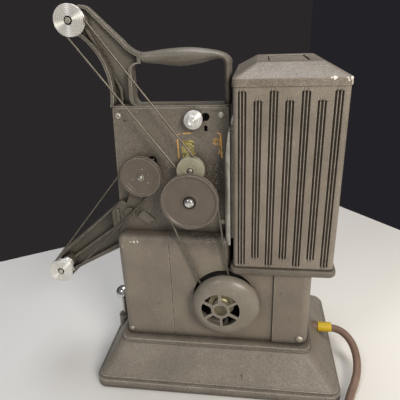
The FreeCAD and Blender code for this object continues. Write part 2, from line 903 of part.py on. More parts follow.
def mechanism_case():
    """Case with its belt side plate, bushings, screws and oil cup."""
    w = case_wall
    case = prism_y(case_points(), case_near, case_back)
    case = case.cut(prism_y(case_points(w), case_near - overrun, case_back - w))
    plate = prism_y(case_points(), plate_face, case_near)
    bore = shaft_r + running_gap
    bush_r = shaft_r + bushing_wall
    bushings = []
    for x, z in bearing_places():
        bushings.append(tube_y(x, z, plate_face, case_near + w, bush_r, bore))
        bushings.append(tube_y(x, z, case_back - 2 * w, case_back, bush_r, bore))
        plate = plate.cut(rod_y(x, z, plate_face - overrun, case_near + overrun, bush_r))
        case = case.cut(rod_y(x, z, case_back - w - overrun, case_back + overrun, bush_r))
    sleeve_end = plate_face - hub_thick - 2 * soft_gap
    bushings.append(tube_y(takeup_x, takeup_z, sleeve_end, plate_face, hub_sleeve_r, bore))
    boss = rod_x(shutter_y, optic_z, case_rear - w - shutter_boss_h, case_rear - w, shutter_boss_r)
    case = fuse([case, boss])
    case = case.cut(rod_x(shutter_y, optic_z, 0, case_rear - w / 2, shutter_shaft_r + running_gap))
    for z in (upper_sprocket_z, lower_sprocket_z):
        case = case.cut(rod_y(sprocket_x, z, case_back - w - overrun, case_back + overrun, bore))
    half = shutter_r + part_gap
    case = case.cut(slab(shutter_x - part_gap, shutter_x + shutter_thick + part_gap,
                         case_back - w - part_gap, case_back + overrun, optic_z - half, optic_z + half))
    for name, side, x, z in keeper_places():
        case = fuse([case, rod_y(x, z, case_back - w, film_far, keeper_pin_r)])
    tail = Part.makeBox(slot_width, overrun * 2, key_tail, Vector(-slot_width / 2, 0, -key_tail))
    tail.rotate(Vector(0, 0, 0), Y_AXIS, 45)
    tail.translate(Vector(key_x, plate_face - overrun, key_z))
    slot_z = key_z - slot_drop
    slot = slab(key_x - slot_width / 2, key_x + slot_width / 2, plate_face - overrun, case_near + overrun,
                slot_z - slot_height / 2, slot_z + slot_height / 2)
    plate = cut(plate, [rod_y(key_x, key_z, plate_face - overrun, case_near + overrun, key_r), tail, slot,
                        rod_y(knob_x, knob_z, plate_face - overrun, case_near + overrun, bore)])
    tab = [(knuckle_x + x, knuckle_z + z) for x, z in stop_tab_places]
    plate = fuse([plate, prism_y(tab, plate_face - stop_tab_thick, plate_face)])
    solid_case = prism_y(case_points(), case_near, case_back)
    for x, z in plate_screw_places():
        post = rod_y(x, z, case_near, case_near + 2 * w, 2 * small_screw_r).common(solid_case)
        case = fuse([case, post]).cut(rod_y(x, z, plate_face, case_near + w, small_screw_r))
    foot = pedestal_block()
    return {"mechanism_case": case.cut(foot), "belt_side_plate": plate.cut(foot),
            "shaft_bushings": group(bushings), "oil_cup": oil_cup()}


def oil_cup():
    """Small oil cup with a sunk lid on the plate."""
    r = oil_cup_r
    h = oil_cup_h
    y = plate_face - h
    return turned_y(oil_cup_x, oil_cup_z, [
        (0, plate_face), (r, plate_face), (r, y), (r * 0.75, y), (r * 0.6, y + h * 0.6),
        (r * 0.3, y + h * 0.3), (0, y + h * 0.2)])


def seated_screws(pieces):
    """Screws of the side plate, pedestal and bottom plate, each in its own hole."""
    x1, y1 = pedestal_x1, pedestal_y1
    r = panel_screw_r
    screws = []
    for x, z in plate_screw_places():
        screws.append(round_screw(x, z, plate_face, plate_screw_r, plate_screw_r / 2,
                                  side_plate_thick + case_wall))
    screws.append(round_screw(x1 - panel_screw_inset, base_height + panel_screw_inset, -y1 - panel_proud, r,
                              r * 0.6, pedestal_wall))
    inset = 2 * small_head_r
    screws.append(round_screw(pedestal_x0 + inset, base_height + inset, -y1, small_head_r, small_head_h,
                              pedestal_wall))
    for name in ("belt_side_plate", "mechanism_case", "pedestal_housing", "pedestal_rear_cover"):
        pieces[name] = cut(pieces[name], screws)
    z0 = rim_lift + plate_recess
    for x, y in base_screw_places():
        screws.append(turned_z(x, y, [
            (0, z0 - small_head_h), (small_head_r * 0.7, z0 - small_head_h), (small_head_r, z0),
            (small_screw_r, z0), (small_screw_r, z0 + screw_depth), (0, z0 + screw_depth)]))
    return {"housing_screws": group(screws)}


def arm_point(shares, inset_x=0.0, inset_z=0.0, y=0.0):
    """Point of the upper arm from its shares of the lean and the rise."""
    return Vector(arm_foot_x - arm_lean * shares[0] + inset_x, y,
                  flange_top + arm_rise * shares[1] + inset_z)


def arm_outline(w, y):
    """Outline of the upper arm at y, drawn in by w: round tip, straight back, hollow belly."""
    r = upper_tip_r - w
    tip = Vector(upper_disc_x, y, upper_disc_z)
    foot_z = flange_top - flange_height / 2
    belly_foot = Vector(arm_foot_x + w, y, foot_z)
    belly = arm_point(belly_shares, w, 0.0, y)
    belly_top = tip + Vector(-DIAGONAL, 0, -DIAGONAL) * r
    tip_left = tip + Vector(-1, 0, 0) * r
    back_top = tip + Vector(DIAGONAL, 0, DIAGONAL) * r
    back_low = arm_point(back_low_shares, -w * 0.6, -w * 0.8, y)
    back_bend = arm_point(back_bend_shares, -w * 0.3, -w, y)
    neck_half = grip_half_height * grip_shares[0][1]
    neck_x = grip_front - w
    back_end = Vector(neck_x, y, grip_z + neck_half - w)
    root_low = Vector(neck_x, y, grip_z - neck_half + w * 0.3)
    c = opening_corner
    leg_x = arm_foot_x + arm_foot_width - c - w
    corner_in = Vector(leg_x, y, grip_z - neck_half - c)
    corner_mid = Vector(leg_x + c * 0.3, y, grip_z - neck_half - c * 0.3)
    leg_low = Vector(leg_x, y, flange_top + c)
    leg_bend = Vector(leg_x + c * 0.3, y, flange_top + c * 0.3)
    leg_foot = Vector(leg_x + c, y, foot_z)
    return Part.Wire([
        arc(belly_foot, belly, belly_top), arc(belly_top, tip_left, back_top), line(back_top, back_low),
        arc(back_low, back_bend, back_end), line(back_end, root_low),
        arc(root_low, corner_mid, corner_in), line(corner_in, leg_low),
        arc(leg_low, leg_bend, leg_foot), line(leg_foot, belly_foot)])


def oval(x, z, half_depth, half_height, tilt):
    """Oval section of the handle; tilt turns it from the grip down into the leg."""
    t = math.radians(tilt)
    middle = Vector(x, grip_middle, z)
    across = Vector(0, half_depth, 0)
    up = Vector(math.sin(t), 0, math.cos(t)) * half_height
    return Part.Wire([Part.Ellipse(middle + across, middle + up, middle).toShape()])


def handle():
    """Carrying handle: a full oval grip that thins into a bent rear leg."""
    span = leg_middle_x - leg_bend_r - grip_front
    sections = []
    for along, tall, deep, lift in grip_shares:
        x = grip_front + span * grip_run_share * along / grip_shares[-1][0]
        sections.append(oval(x, grip_z + grip_half_height * lift, grip_half_depth * deep,
                             grip_half_height * tall, 0))
    tall = grip_half_height * leg_height_share
    deep = grip_half_depth * leg_depth_share
    bend_x = leg_middle_x - leg_bend_r
    bend_z = grip_z + grip_half_height * grip_shares[-1][3] - leg_bend_r
    for tilt in (0, 45, 90):
        t = math.radians(tilt)
        sections.append(oval(bend_x + leg_bend_r * math.sin(t), bend_z + leg_bend_r * math.cos(t),
                             deep, tall, tilt))
    grip = Part.makeLoft(sections, True, False)
    foot = Part.Face(oval(leg_middle_x, bend_z, deep, tall, 90))
    return fuse([grip, foot.extrude(Vector(0, 0, flange_top - flange_height / 2 - bend_z))])


def handle_and_arm():
    """Carrying handle, upper reel arm and flange, one casting."""
    near = arm_near_foot
    outer = Part.Face(arm_outline(0.0, near)).extrude(Vector(0, arm_back - near, 0))
    pocket = Part.Face(arm_outline(arm_rim, near - overrun))
    arm = outer.cut(pocket.extrude(Vector(0, arm_web_face - near + overrun, 0)))
    rise = arm_rise + upper_tip_r
    far_z = flange_top + rise
    far_y = near + (arm_near_tip - near) * rise / arm_rise
    x0, x1 = upper_disc_x - 2 * upper_tip_r, grip_front + overrun
    wedge = Part.Face(polygon([Vector(x0, near, flange_top), Vector(x0, far_y, far_z),
                               Vector(x0, near - overrun, far_z), Vector(x0, near - overrun, flange_top)]))
    arm = arm.cut(wedge.extrude(Vector(x1 - x0, 0, 0)))
    tip_x, tip_z = upper_disc_x, upper_disc_z
    boss = rod_y(tip_x, tip_z, arm_boss_near, arm_back, arm_boss_r)
    far_boss = rod_y(tip_x, tip_z, arm_web_face, arm_boss_far, arm_boss_far_r)
    rib_bend = arm_point((rib_foot_share, rib_bend_share))
    rib = strip_y([(tip_x, tip_z), (rib_bend.x, rib_bend.z), (rib_bend.x, flange_top)], arm_rib_width,
                  arm_web_face - arm_rib_stand, arm_web_face)
    flange = slab(case_front_top - flange_lip, flange_rear, plate_face, case_back, case_top, flange_top,
                  flange_corner)
    whole = fuse([arm, boss, far_boss, rib, flange, handle()])
    bore = rod_y(tip_x, tip_z, arm_boss_near - overrun, arm_boss_far + overrun,
                 spindle_shaft_r + running_gap)
    return {"handle_and_upper_arm": whole.cut(bore)}


def lower_outline(w, y):
    """Outline of the lower arm at y, drawn in by w: a long taper from its root to a round tip."""
    r = lower_tip_r - w
    tip = Vector(lower_disc_x, y, lower_disc_z)
    root_x = lower_root_x - w
    top = Vector(root_x, y, lower_root_top - w * 1.3)
    foot = Vector(root_x, y, lower_root_foot + w * 1.3)
    ends = []
    for corner, side in ((top, 1), (foot, -1)):
        reach = corner.sub(tip)
        lean = math.acos(r / reach.Length)
        turn = math.atan2(reach.z, reach.x) + side * lean
        ends.append(tip + Vector(math.cos(turn), 0, math.sin(turn)) * r)
    away = tip.sub((top + foot) * 0.5)
    away.normalize()
    return Part.Wire([line(ends[0], top), line(top, foot), line(foot, ends[1]),
                      arc(ends[1], tip + away * r, ends[0])])


def lower_arm():
    """Lower reel arm; its strap turns on a sleeve round the take-up shaft."""
    x, z = lower_disc_x, lower_disc_z
    near = lower_near
    beam = Part.Face(lower_outline(0.0, near)).extrude(Vector(0, lower_back - near, 0))
    pocket = Part.Face(lower_outline(arm_rim, near - overrun))
    beam = beam.cut(pocket.extrude(Vector(0, lower_web_face - near + overrun, 0)))
    middle_z = (lower_root_top + lower_root_foot) / 2
    rib = strip_y([(x, z), (lower_root_x - arm_rim, middle_z)], lower_rib_width, near, lower_web_face)
    boss = rod_y(x, z, lower_boss_near, lower_back, arm_boss_r)
    far_boss = rod_y(x, z, lower_web_face, arm_boss_far, arm_boss_far_r)
    y1 = plate_face - soft_gap
    y0 = y1 - hub_thick
    hub = rod_y(takeup_x, takeup_z, y0, y1, hub_r)
    strap = strip_y([(takeup_x, takeup_z), (knuckle_x, knuckle_z)], strap_width, y0, y1)
    r = knuckle_r
    peak_x, step_x = pedestal_x0 + root_peak_inset, pedestal_x0 + root_step_inset
    peak_z = lower_root_top + root_peak_rise
    edge_x = lower_root_x - lower_shoulder
    slope = (peak_z - lower_root_top) / (peak_x - lower_root_x)
    edge_z = lower_root_top - lower_shoulder * slope
    shoulder_foot = lower_root_top - lower_shoulder_height
    root = prism_y([(edge_x, edge_z), (peak_x, peak_z), (step_x, root_step_top),
                    (knuckle_x + r * 0.6, knuckle_z + r * 0.8),
                    (knuckle_x - r * 0.5, knuckle_z - r * 0.86), (step_x, root_step_foot),
                    (lower_root_x, shoulder_foot), (edge_x, shoulder_foot)], y0, y1)
    ridge_x = pedestal_x0 + ridge_inset
    ridge = strip_y([(ridge_x, lower_root_top - ridge_width), (ridge_x, root_step_foot - ridge_width)],
                    ridge_width, y0 - ridge_stand, y0)
    shoulder = prism_y([(edge_x, edge_z), (lower_root_x, lower_root_top), (lower_root_x, shoulder_foot),
                        (edge_x, shoulder_foot)], y0, lower_web_face)
    knuckle = rod_y(knuckle_x, knuckle_z, y0 - knuckle_h, y1, knuckle_r)
    whole = fuse([beam, rib, boss, far_boss, hub, strap, root, ridge, shoulder, knuckle])
    bore = rod_y(x, z, lower_boss_near - overrun, arm_boss_far + overrun, spindle_shaft_r + running_gap)
    hub_bore = rod_y(takeup_x, takeup_z, y0 - overrun, y1 + overrun, hub_sleeve_r + running_gap)
    return {"lower_arm": cut(whole, [bore, hub_bore])}


def spindle(name, x, z, face_r, wire_r, boss_near):
    """Reel spindle with its turned disc pulley on the belt side and a keyed free end."""
    y0 = low_belt_y - disc_width / 2
    y1 = low_belt_y + disc_width / 2
    y_flange = arm_boss_far + soft_gap
    y_free = y_flange + spindle_flange_h
    head_r = disc_screw_r
    shaft = fuse([
        rod_y(x, z, y0, y_free + spindle_key_length, spindle_shaft_r),
        rod_y(x, z, y_free + spindle_key_length, y_free + spindle_free, spindle_r),
        rod_y(x, z, y_flange, y_free, spindle_flange_r),
        slab(x - spindle_r - spindle_key, x + spindle_r + spindle_key, y_free, y_free + spindle_key_length,
             z - spindle_key / 2, z + spindle_key / 2),
        turned_y(x, z, [(0, y0 - disc_screw_h), (head_r * 0.8, y0 - disc_screw_h),
                        (head_r, y0 - disc_screw_h * 0.4), (head_r, y0), (0, y0)])])
    disc = grooved(x, z, low_belt_y, disc_width, face_r, wire_r, spindle_shaft_r)
    disc = fuse([disc, tube_y(x, z, y1, boss_near - soft_gap, arm_boss_r, spindle_shaft_r)])
    for share in disc_ring_shares:
        r = face_r * share
        disc = disc.cut(tube_y(x, z, y0 - overrun, y0 + disc_ring_deep, r + disc_ring, r))
    return {name + "_spindle": shaft, name + "_disc": disc}


def spindles():
    pieces = spindle("upper", upper_disc_x, upper_disc_z, disc_r, disc_wire_r, arm_boss_near)
    pieces.update(spindle("lower", lower_disc_x, lower_disc_z, lower_disc_r, lower_disc_wire_r,
                          lower_boss_near))
    return pieces


def shaft_with_nut(x, z, y_face, y_end, head_r, washer_r):
    """Pulley shaft from a domed nut and its washer at the pulley's face to the case's far bushing."""
    y0 = y_face - nut_h
    y_washer = y_face - washer_h
    return turned_y(x, z, [
        (0, y0), (head_r * 0.4, y0), (head_r * 0.75, y0 + nut_h * 0.15), (head_r, y0 + nut_h / 2),
        (head_r, y_washer), (washer_r, y_washer), (washer_r, y_face), (shaft_r, y_face), (shaft_r, y_end),
        (0, y_end)])


def drive_pulleys():
    """Main, feed and take-up pulleys on their shafts, and the framing knob."""
    end = case_back - soft_gap
    hub_end = plate_face - soft_gap
    half = pulley_width / 2
    y_main = motor_belt_y
    y_low = low_belt_y
    main = fuse([grooved(main_x, main_z, y_main, pulley_width, main_r, main_wire_r, shaft_r, main_dish,
                         main_lip),
                 tube_y(main_x, main_z, y_main + half, hub_end, main_hub_r, shaft_r)])
    feed = fuse([grooved(feed_x, feed_z, y_low, pulley_width, feed_r, feed_wire_r, shaft_r),
                 tube_y(feed_x, feed_z, y_low + half, hub_end, feed_hub_r, shaft_r)])
    takeup = grooved(takeup_x, takeup_z, y_low, pulley_width, takeup_r, takeup_wire_r, shaft_r, takeup_dish,
                     takeup_lip)
    face = y_low - half + takeup_dish
    rivets = []
    for turn in rivet_turns:
        x = takeup_x + rivet_ring * math.cos(math.radians(turn))
        z = takeup_z + rivet_ring * math.sin(math.radians(turn))
        rivets.append(rod_y(x, z, face - rivet_r * 0.7, face + rivet_r, rivet_r))
    y_knob = hub_end
    y_step = y_knob - knob_h
    y_top = y_step - knob_step_h
    knob = turned_y(knob_x, knob_z, [
        (0, y_top), (knob_step_r - knob_edge, y_top), (knob_step_r, y_top + knob_edge),
        (knob_step_r, y_step), (knob_r - knob_edge, y_step), (knob_r, y_step + knob_edge),
        (knob_r, y_knob), (shaft_r, y_knob), (shaft_r, case_near + case_wall), (0, case_near + case_wall)])
    return {
        "main_pulley": main, "feed_pulley": feed, "takeup_pulley": fuse([takeup] + rivets),
        "main_shaft": shaft_with_nut(main_x, main_z, y_main - half + main_dish, end, nut_r,
                                     main_washer_r),
        "feed_shaft": rod_y(feed_x, feed_z, y_low - half, end, shaft_r),
        "takeup_shaft": shaft_with_nut(takeup_x, takeup_z, face, end, takeup_nut_r, takeup_washer_r),
        "framing_knob": knob,
    }


def belts():
    """The three spring-wire belts."""
    feed = (feed_x, feed_z)
    takeup = (takeup_x, takeup_z)
    upper = (upper_disc_x, upper_disc_z)
    lower = (lower_disc_x, lower_disc_z)
    return {
        "upper_belt": open_belt(feed, feed_wire_r, upper, disc_wire_r, low_belt_y),
        "lower_belt": open_belt(takeup, takeup_wire_r, lower, lower_disc_wire_r, low_belt_y),
        "motor_belt": open_belt((main_x, main_z), main_wire_r, (motor_x, motor_z), motor_wire_r,
                                motor_belt_y),
    }


def keeper_places():
    """Pivot pins of the film keepers: name, side of the sprocket, x and z."""
    x = sprocket_x - sprocket_r - keeper_gap - keeper_width / 2
    rise = sprocket_r + keeper_stand
    return (("upper", 1, x, upper_sprocket_z + rise), ("lower", -1, x, lower_sprocket_z - rise))


def sprockets():
    """Two film sprockets on their shafts, each with a curved keeper on a pin."""
    pieces = {}
    y0 = film_near
    y1 = film_far
    rim = sprocket_rim
    waist = rim * 0.4
    for name, side, px, pz in keeper_places():
        z = upper_sprocket_z if side > 0 else lower_sprocket_z
        drum = turned_y(sprocket_x, z, [
            (0, y0), (sprocket_r, y0), (sprocket_r, y0 + rim), (sprocket_waist_r, y0 + rim + waist),
            (sprocket_waist_r, y1 - rim), (sprocket_r, y1 - rim + waist), (sprocket_r, y1), (0, y1)])
        teeth = []
        t = sprocket_tooth
        for i in range(sprocket_teeth):
            tooth = Part.makeBox(t, t, t, Vector(sprocket_x + sprocket_r - t / 4, y0 + t, z - t / 2))
            tooth.rotate(Vector(sprocket_x, 0, z), Y_AXIS, 360.0 * i / sprocket_teeth)
            teeth.append(tooth)
        shaft = rod_y(sprocket_x, z, case_near + case_wall, y0, shaft_r)
        pieces[name + "_sprocket"] = fuse([drum, shaft] + teeth)
        half = keeper_width / 2
        z_end = pz - side * keeper_height
        shoe = slab(px - half, px + 2 * half, case_back + part_gap, y1, min(pz, z_end), max(pz, z_end),
                    half / 2)
        eye = rod_y(px, pz, case_back + part_gap, y1, half)
        keeper = fuse([shoe, eye])
        keeper = keeper.cut(rod_y(sprocket_x, z, case_back, y1 + overrun, sprocket_r + keeper_gap))
        pieces[name + "_keeper"] = keeper.cut(rod_y(px, pz, case_back, y1 + overrun,
                                                    keeper_pin_r + running_gap))
    return pieces


def gate_and_lens():
    """Film gate with its pressure shoe, lens in its holder, and shutter."""
    pieces = {}
    y0 = film_plane - gate_width / 2
    y1 = film_plane + gate_width / 2
    z0 = optic_z - gate_height / 2
    z1 = optic_z + gate_height / 2
    plate = slab(gate_x, gate_x + gate_thick, case_back, y1, z0, z1)
    window = slab(gate_x - overrun, gate_x + overrun, film_plane - aperture_w / 2,
                  film_plane + aperture_w / 2, optic_z - aperture_h / 2, optic_z + aperture_h / 2)
    pieces["aperture_plate"] = plate.cut(window)
    shoe_x = gate_x - soft_gap
    shoe = slab(shoe_x - gate_thick, shoe_x, y0 + part_gap, y1 - part_gap, z0 + 2 * gate_thick,
                z1 - 2 * gate_thick)
    pieces["pressure_shoe"] = shoe.cut(rod_x(film_plane, optic_z, shoe_x - overrun, gate_x, aperture_w))
    out_r = lens_r + holder_wall
    hx1 = lens_back - lens_rest
    hx0 = hx1 - holder_length
    holder = fuse([slab(hx0, hx1, case_back, film_plane, optic_z - out_r, optic_z + out_r),
                   rod_x(film_plane, optic_z, hx0, hx1, out_r)])
    holder = holder.cut(slab(hx0 - overrun, hx1 + overrun, -base_y1, case_back, z0, z1))
    pieces["lens_holder"] = holder.cut(rod_x(film_plane, optic_z, hx0 - overrun, hx1 + overrun,
                                             lens_r + running_gap))
    bx0 = lens_back - lens_length
    bore_r = lens_r - lens_wall
    ring_x = bx0 + lens_ring_h
    pieces["lens_barrel"] = turned_x(film_plane, optic_z, [
        (bore_r, bx0), (lens_ring_r, bx0), (lens_ring_r, ring_x), (lens_r, ring_x), (lens_r, lens_back),
        (bore_r, lens_back)])
    glasses = []
    for a in (bx0 + lens_wall, lens_back - lens_wall - 2 * glass_thick):
        b = a + 2 * glass_thick
        bow = glass_thick / 2
        glasses.append(dish_x(film_plane, optic_z, bore_r, (a + bow, a), (b - bow, b)))
    pieces["lens_glass"] = group(glasses)
    blade = rod_x(shutter_y, optic_z, shutter_x, shutter_x + shutter_thick, shutter_r)
    notch = slab(shutter_x - overrun, shutter_x + overrun, shutter_y - shutter_r, shutter_y - shutter_hub_r,
                 optic_z, optic_z + shutter_r)
    hub_x = shutter_x + shutter_thick
    hub = rod_x(shutter_y, optic_z, hub_x, hub_x + shutter_hub_h, shutter_hub_r)
    shaft = rod_x(shutter_y, optic_z, shutter_x, case_rear - case_wall, shutter_shaft_r)
    pieces["shutter_disc"] = fuse([blade.cut(notch), hub, shaft])
    return pieces


def upright_slot(x, foot, length, width, r, ya, yb):
    """Upright slot shape with round corners, between ya and yb."""
    d = r * (1 - DIAGONAL)
    x0, x1 = x - width / 2, x + width / 2
    z0, z1 = foot, foot + length
    places = (((x0, z0 + r), (x0 + d, z0 + d), (x0 + r, z0)), ((x1 - r, z0), (x1 - d, z0 + d), (x1, z0 + r)),
              ((x1, z1 - r), (x1 - d, z1 - d), (x1 - r, z1)), ((x0 + r, z1), (x0 + d, z1 - d), (x0, z1 - r)))
    corners = [[Vector(px, ya, pz) for px, pz in corner] for corner in places]
    edges = []
    for i in range(len(corners)):
        edges.append(arc(*corners[i]))
        a, b = corners[i][2], corners[(i + 1) % len(corners)][0]
        if a.distanceToPoint(b) > running_gap:
            edges.append(line(a, b))
    return Part.Face(Part.Wire(edges)).extrude(Vector(0, yb - ya, 0))


def lamp_grooves():
    """Channels pressed into both long sides of the lamp house, and the twin ribs in each."""
    cutters = []
    ribs = []
    drop = (groove_long - groove_short) / 2
    rib_r = groove_rib / 2
    for i in range(groove_count):
        x = lamp_front + groove_first + i * groove_pitch
        is_long = i % 2 == 0
        length = groove_long if is_long else groove_short
        foot = tray_top + groove_foot + (0 if is_long else drop)
        for face, out in ((lamp_near, -1), (lamp_far, 1)):
            ya, yb = sorted((face + out * overrun, face - out * groove_depth))
            cutters.append(upright_slot(x, foot, length, groove_width, groove_corner, ya, yb))
            ya, yb = sorted((face + out * groove_rib_proud, face - out * groove_depth))
            for side in (-1, 1):
                ribs.append(upright_slot(x + side * groove_rib_place, foot + groove_rib,
                                         length - 2 * groove_rib, groove_rib, rib_r, ya, yb))
    return cutters, ribs


def lamp_house():
    """Tray, lamp house, and its cap with a vent and baffle."""
    pieces = {}
    x0, x1, y0, y1 = lamp_front, lamp_rear, lamp_near, lamp_far
    p = tray_proud
    w = lamp_wall
    tray = slab(x0 - p, x1 + p, y0 - p, y1 + p, step_top, tray_top, lamp_corner + p)
    pieces["lamp_tray"] = tray.cut(rod_z(bulb_x, film_plane, tray_top - socket_seat, lamp_top, socket_r))
    body = slab(x0, x1, y0, y1, tray_top, lamp_top, lamp_corner)
    hollow = slab(x0 + w, x1 - w, y0 + w, y1 - w, tray_top - overrun, lamp_top + overrun, lamp_corner - w)
    beam = slab(x0 - overrun, x0 + overrun, film_plane - light_hole_r, film_plane + light_hole_r,
                tray_top - overrun, optic_z + light_hole_r)
    channels, ribs = lamp_grooves()
    pieces["lamp_house_body"] = fuse([cut(body, [hollow, beam] + channels)] + ribs)
    rim_z = lamp_top + cap_rim
    top = rim_z + cap_hip
    s = cap_skirt
    tx0, tx1 = x0 + cap_inset_x, x1 - cap_inset_x
    ty0, ty1 = y0 + cap_inset_y, y1 - cap_inset_y
    rim = slab(x0 - s, x1 + s, y0 - s, y1 + s, lamp_top, rim_z, lamp_corner + s)
    hip = taper(rounded_wire(x0, x1, y0, y1, rim_z, lamp_corner),
                rounded_wire(tx0, tx1, ty0, ty1, top, cap_top_corner))
    room = taper(rounded_wire(x0 + w, x1 - w, y0 + w, y1 - w, lamp_top - part_gap, lamp_corner - w),
                 rounded_wire(tx0, tx1, ty0, ty1, top - w, cap_top_corner))
    vx0, vx1 = tx0 + vent_inset_x, tx1 - vent_inset_x
    vy0, vy1 = ty0 + vent_inset_y, ty1 - vent_inset_y
    vent = slab(vx0, vx1, vy0, vy1, top - w - overrun, top + overrun, vent_corner)
    pieces["lamp_house_cap"] = cut(fuse([rim, hip]), [room, vent])
    z1 = top - w
    z0 = z1 - slat_height
    frame = slab(vx0 - w, vx1 + w, vy0 - w, vy1 + w, z0, z1)
    parts = [frame.cut(slab(vx0, vx1, vy0, vy1, z0 - overrun, z1 + overrun))]
    for i in range(vent_slats):
        x = vx0 + (vx1 - vx0) * (i + 0.5) / vent_slats
        parts.append(slab(x, x + slat_thick, vy0 - w / 2, vy1 + w / 2, z0, z1))
    g = baffle_gap
    parts.append(slab(vx0 + g, vx1 - g, vy0 + g, vy1 - g, z0 + slat_thick, top - baffle_sink, vent_corner))
    pieces["vent_baffle"] = fuse(parts)
    return pieces


def light_source():
    """Lamp in its socket, mirror behind it, condenser and light shroud in front of it."""
    y, z = film_plane, optic_z
    seat = tray_top - socket_seat
    z0 = tray_top + socket_height
    z1 = z0 + bulb_height
    r = bulb_r
    bulb = turned_z(bulb_x, y, [
        (0, z0), (r * 0.85, z0), (r, z0 + r * 0.4), (r, z1 - r * 0.7), (r * 0.75, z1 - r * 0.2),
        (r * 0.35, z1), (0, z1)])
    socket = turned_z(bulb_x, y, [
        (0, seat), (socket_r, seat), (socket_r, z0 - socket_height * 0.4), (socket_r * 0.8, z0), (0, z0)])
    mx = bulb_x + bulb_r + mirror_gap
    mirror = dish_x(y, z, mirror_r, (mx, mx + mirror_deep),
                    (mx + mirror_thick, mx + mirror_deep + mirror_thick))
    post_x = mx + mirror_deep + mirror_thick / 2
    post = slab(post_x, post_x + mirror_thick, y - mirror_post, y + mirror_post, tray_top, z)
    sx0, sx1 = shroud_front, lamp_front - part_gap
    z_foot = shoulder_top - shoulder_r
    box = slab(case_rear, sx1, plate_face, shroud_far, z_foot, shroud_top)
    lip = slab(sx0, lamp_front - shroud_gap, shroud_near, plate_face - part_gap, z_foot, shroud_top)
    edge = [e for e in lip.Edges if e.BoundBox.XMax < sx0 + part_gap
            and e.BoundBox.YMax < shroud_near + part_gap and e.BoundBox.ZLength > part_gap]
    lip = lip.makeFillet(shroud_edge, edge)
    lip = lip.cut(prism_y([(sx0, shroud_top - shroud_taper), (sx0, shroud_top),
                           (sx0 + shroud_taper_width, shroud_top)], shroud_near, plate_face))
    bridge = slab(case_rear, lamp_front - shroud_gap, shroud_near + shroud_edge, shroud_far,
                  z_foot, shroud_top)
    shroud = fuse([box, lip, bridge]).cut(rod_x(y, z, sx0 - overrun, sx1 + overrun, condenser_r))
    cx0 = case_rear
    cx1 = cx0 + condenser_edge
    lens = dish_x(y, z, condenser_r, (cx0, cx0 - condenser_bulge), (cx1, cx1))
    return {"lamp_bulb": bulb, "lamp_socket": socket, "lamp_mirror": fuse([mirror, post]),
            "light_shroud": shroud.cut(pedestal_block()), "condenser_lens": lens}


def controls():
    """Speed control and lamp switch on the pedestal's film side."""
    y1 = pedestal_y1
    inner = y1 - pedestal_wall
    r = speed_knob_r
    h = speed_knob_h
    knob = turned_y(speed_x, speed_z, [
        (0, y1 + h), (r * 0.8, y1 + h), (r * 0.9, y1 + h * 0.9), (r, y1 + part_gap),
        (shaft_r, y1 + part_gap), (shaft_r, inner + running_gap), (0, inner + running_gap)])
    pivot = y1 + switch_bush_h
    bore = lever_r + soft_gap
    bush = turned_y(switch_x, switch_z, [
        (bore, inner), (switch_neck_r, inner), (switch_neck_r, y1), (switch_bush_r, y1),
        (switch_bush_r, y1 + switch_ring), (switch_neck_r, y1 + switch_ring),
        (switch_neck_r, pivot - part_gap), (bore, pivot - part_gap)])
    body = slab(switch_x - switch_bush_r, switch_x + switch_bush_r, inner - switch_body, inner,
                switch_z - switch_bush_r, switch_z + switch_bush_r)
    rheostat = rod_y(speed_x, speed_z, inner - rheostat_h, inner, rheostat_r)
    lean = math.radians(lever_lean)
    stick = Part.makeCone(lever_r * 0.75, lever_r * 1.25, lever_length,
                          Vector(switch_x, pivot, switch_z), Vector(0, math.cos(lean), -math.sin(lean)))
    ball = Part.makeSphere(lever_r, Vector(switch_x, pivot, switch_z))
    pin = rod_x(pivot, switch_z, switch_x - lever_pin_half, switch_x + lever_pin_half, lever_pin_r)
    return {"speed_knob": knob, "control_bodies": group([fuse([bush, body]), rheostat]),
            "switch_lever": fuse([stick, ball, pin])}


def rounded_path(points):
    """Straight runs joined by tangent arcs as large as the runs allow."""
    edges = []
    radii = []
    last = points[0]
    for before, p, after in zip(points, points[1:], points[2:]):
        u = p.sub(before)
        v = after.sub(p)
        back = 0.45 * min(u.Length, v.Length)
        u.normalize()
        v.normalize()
        turn = math.acos(max(-1.0, min(1.0, u.dot(v))))
        radius = back / math.tan(turn / 2)
        radii.append(radius)
        start = p - u * back
        end = p + v * back
        inward = v.sub(u)
        inward.normalize()
        sag = radius / math.cos(turn / 2) - radius
        edges.append(line(last, start))
        edges.append(arc(start, p + inward * sag, end))
        last = end
    edges.append(line(last, points[-1]))
    return edges, radii


def biarc(p0, t0, p1, t1):
    """Two arcs that join two points with given directions."""
    v = p1.sub(p0)
    a = 2 * (1 - t0.dot(t1))
    b = 2 * v.dot(t0 + t1)
    c = v.dot(v)
    d = (-b + math.sqrt(b * b + 4 * a * c)) / (2 * a)
    q0 = p0 + t0 * d
    q1 = p1 - t1 * d
    joint = (q0 + q1) * 0.5
    middle = q1.sub(q0)
    middle.normalize()
    return [arc_from(p0, t0, joint), arc_from(joint, middle, p1)]


def arc_from(start, tangent, end):
    """Arc that leaves start along tangent and reaches end."""
    chord = end.sub(start)
    side = chord - tangent * chord.dot(tangent)
    radius = chord.dot(chord) / (2 * side.Length)
    side.normalize()
    centre = start + side * radius
    middle = (start + end) * 0.5 - centre
    middle.normalize()
    return arc(start, centre + middle * radius, end)


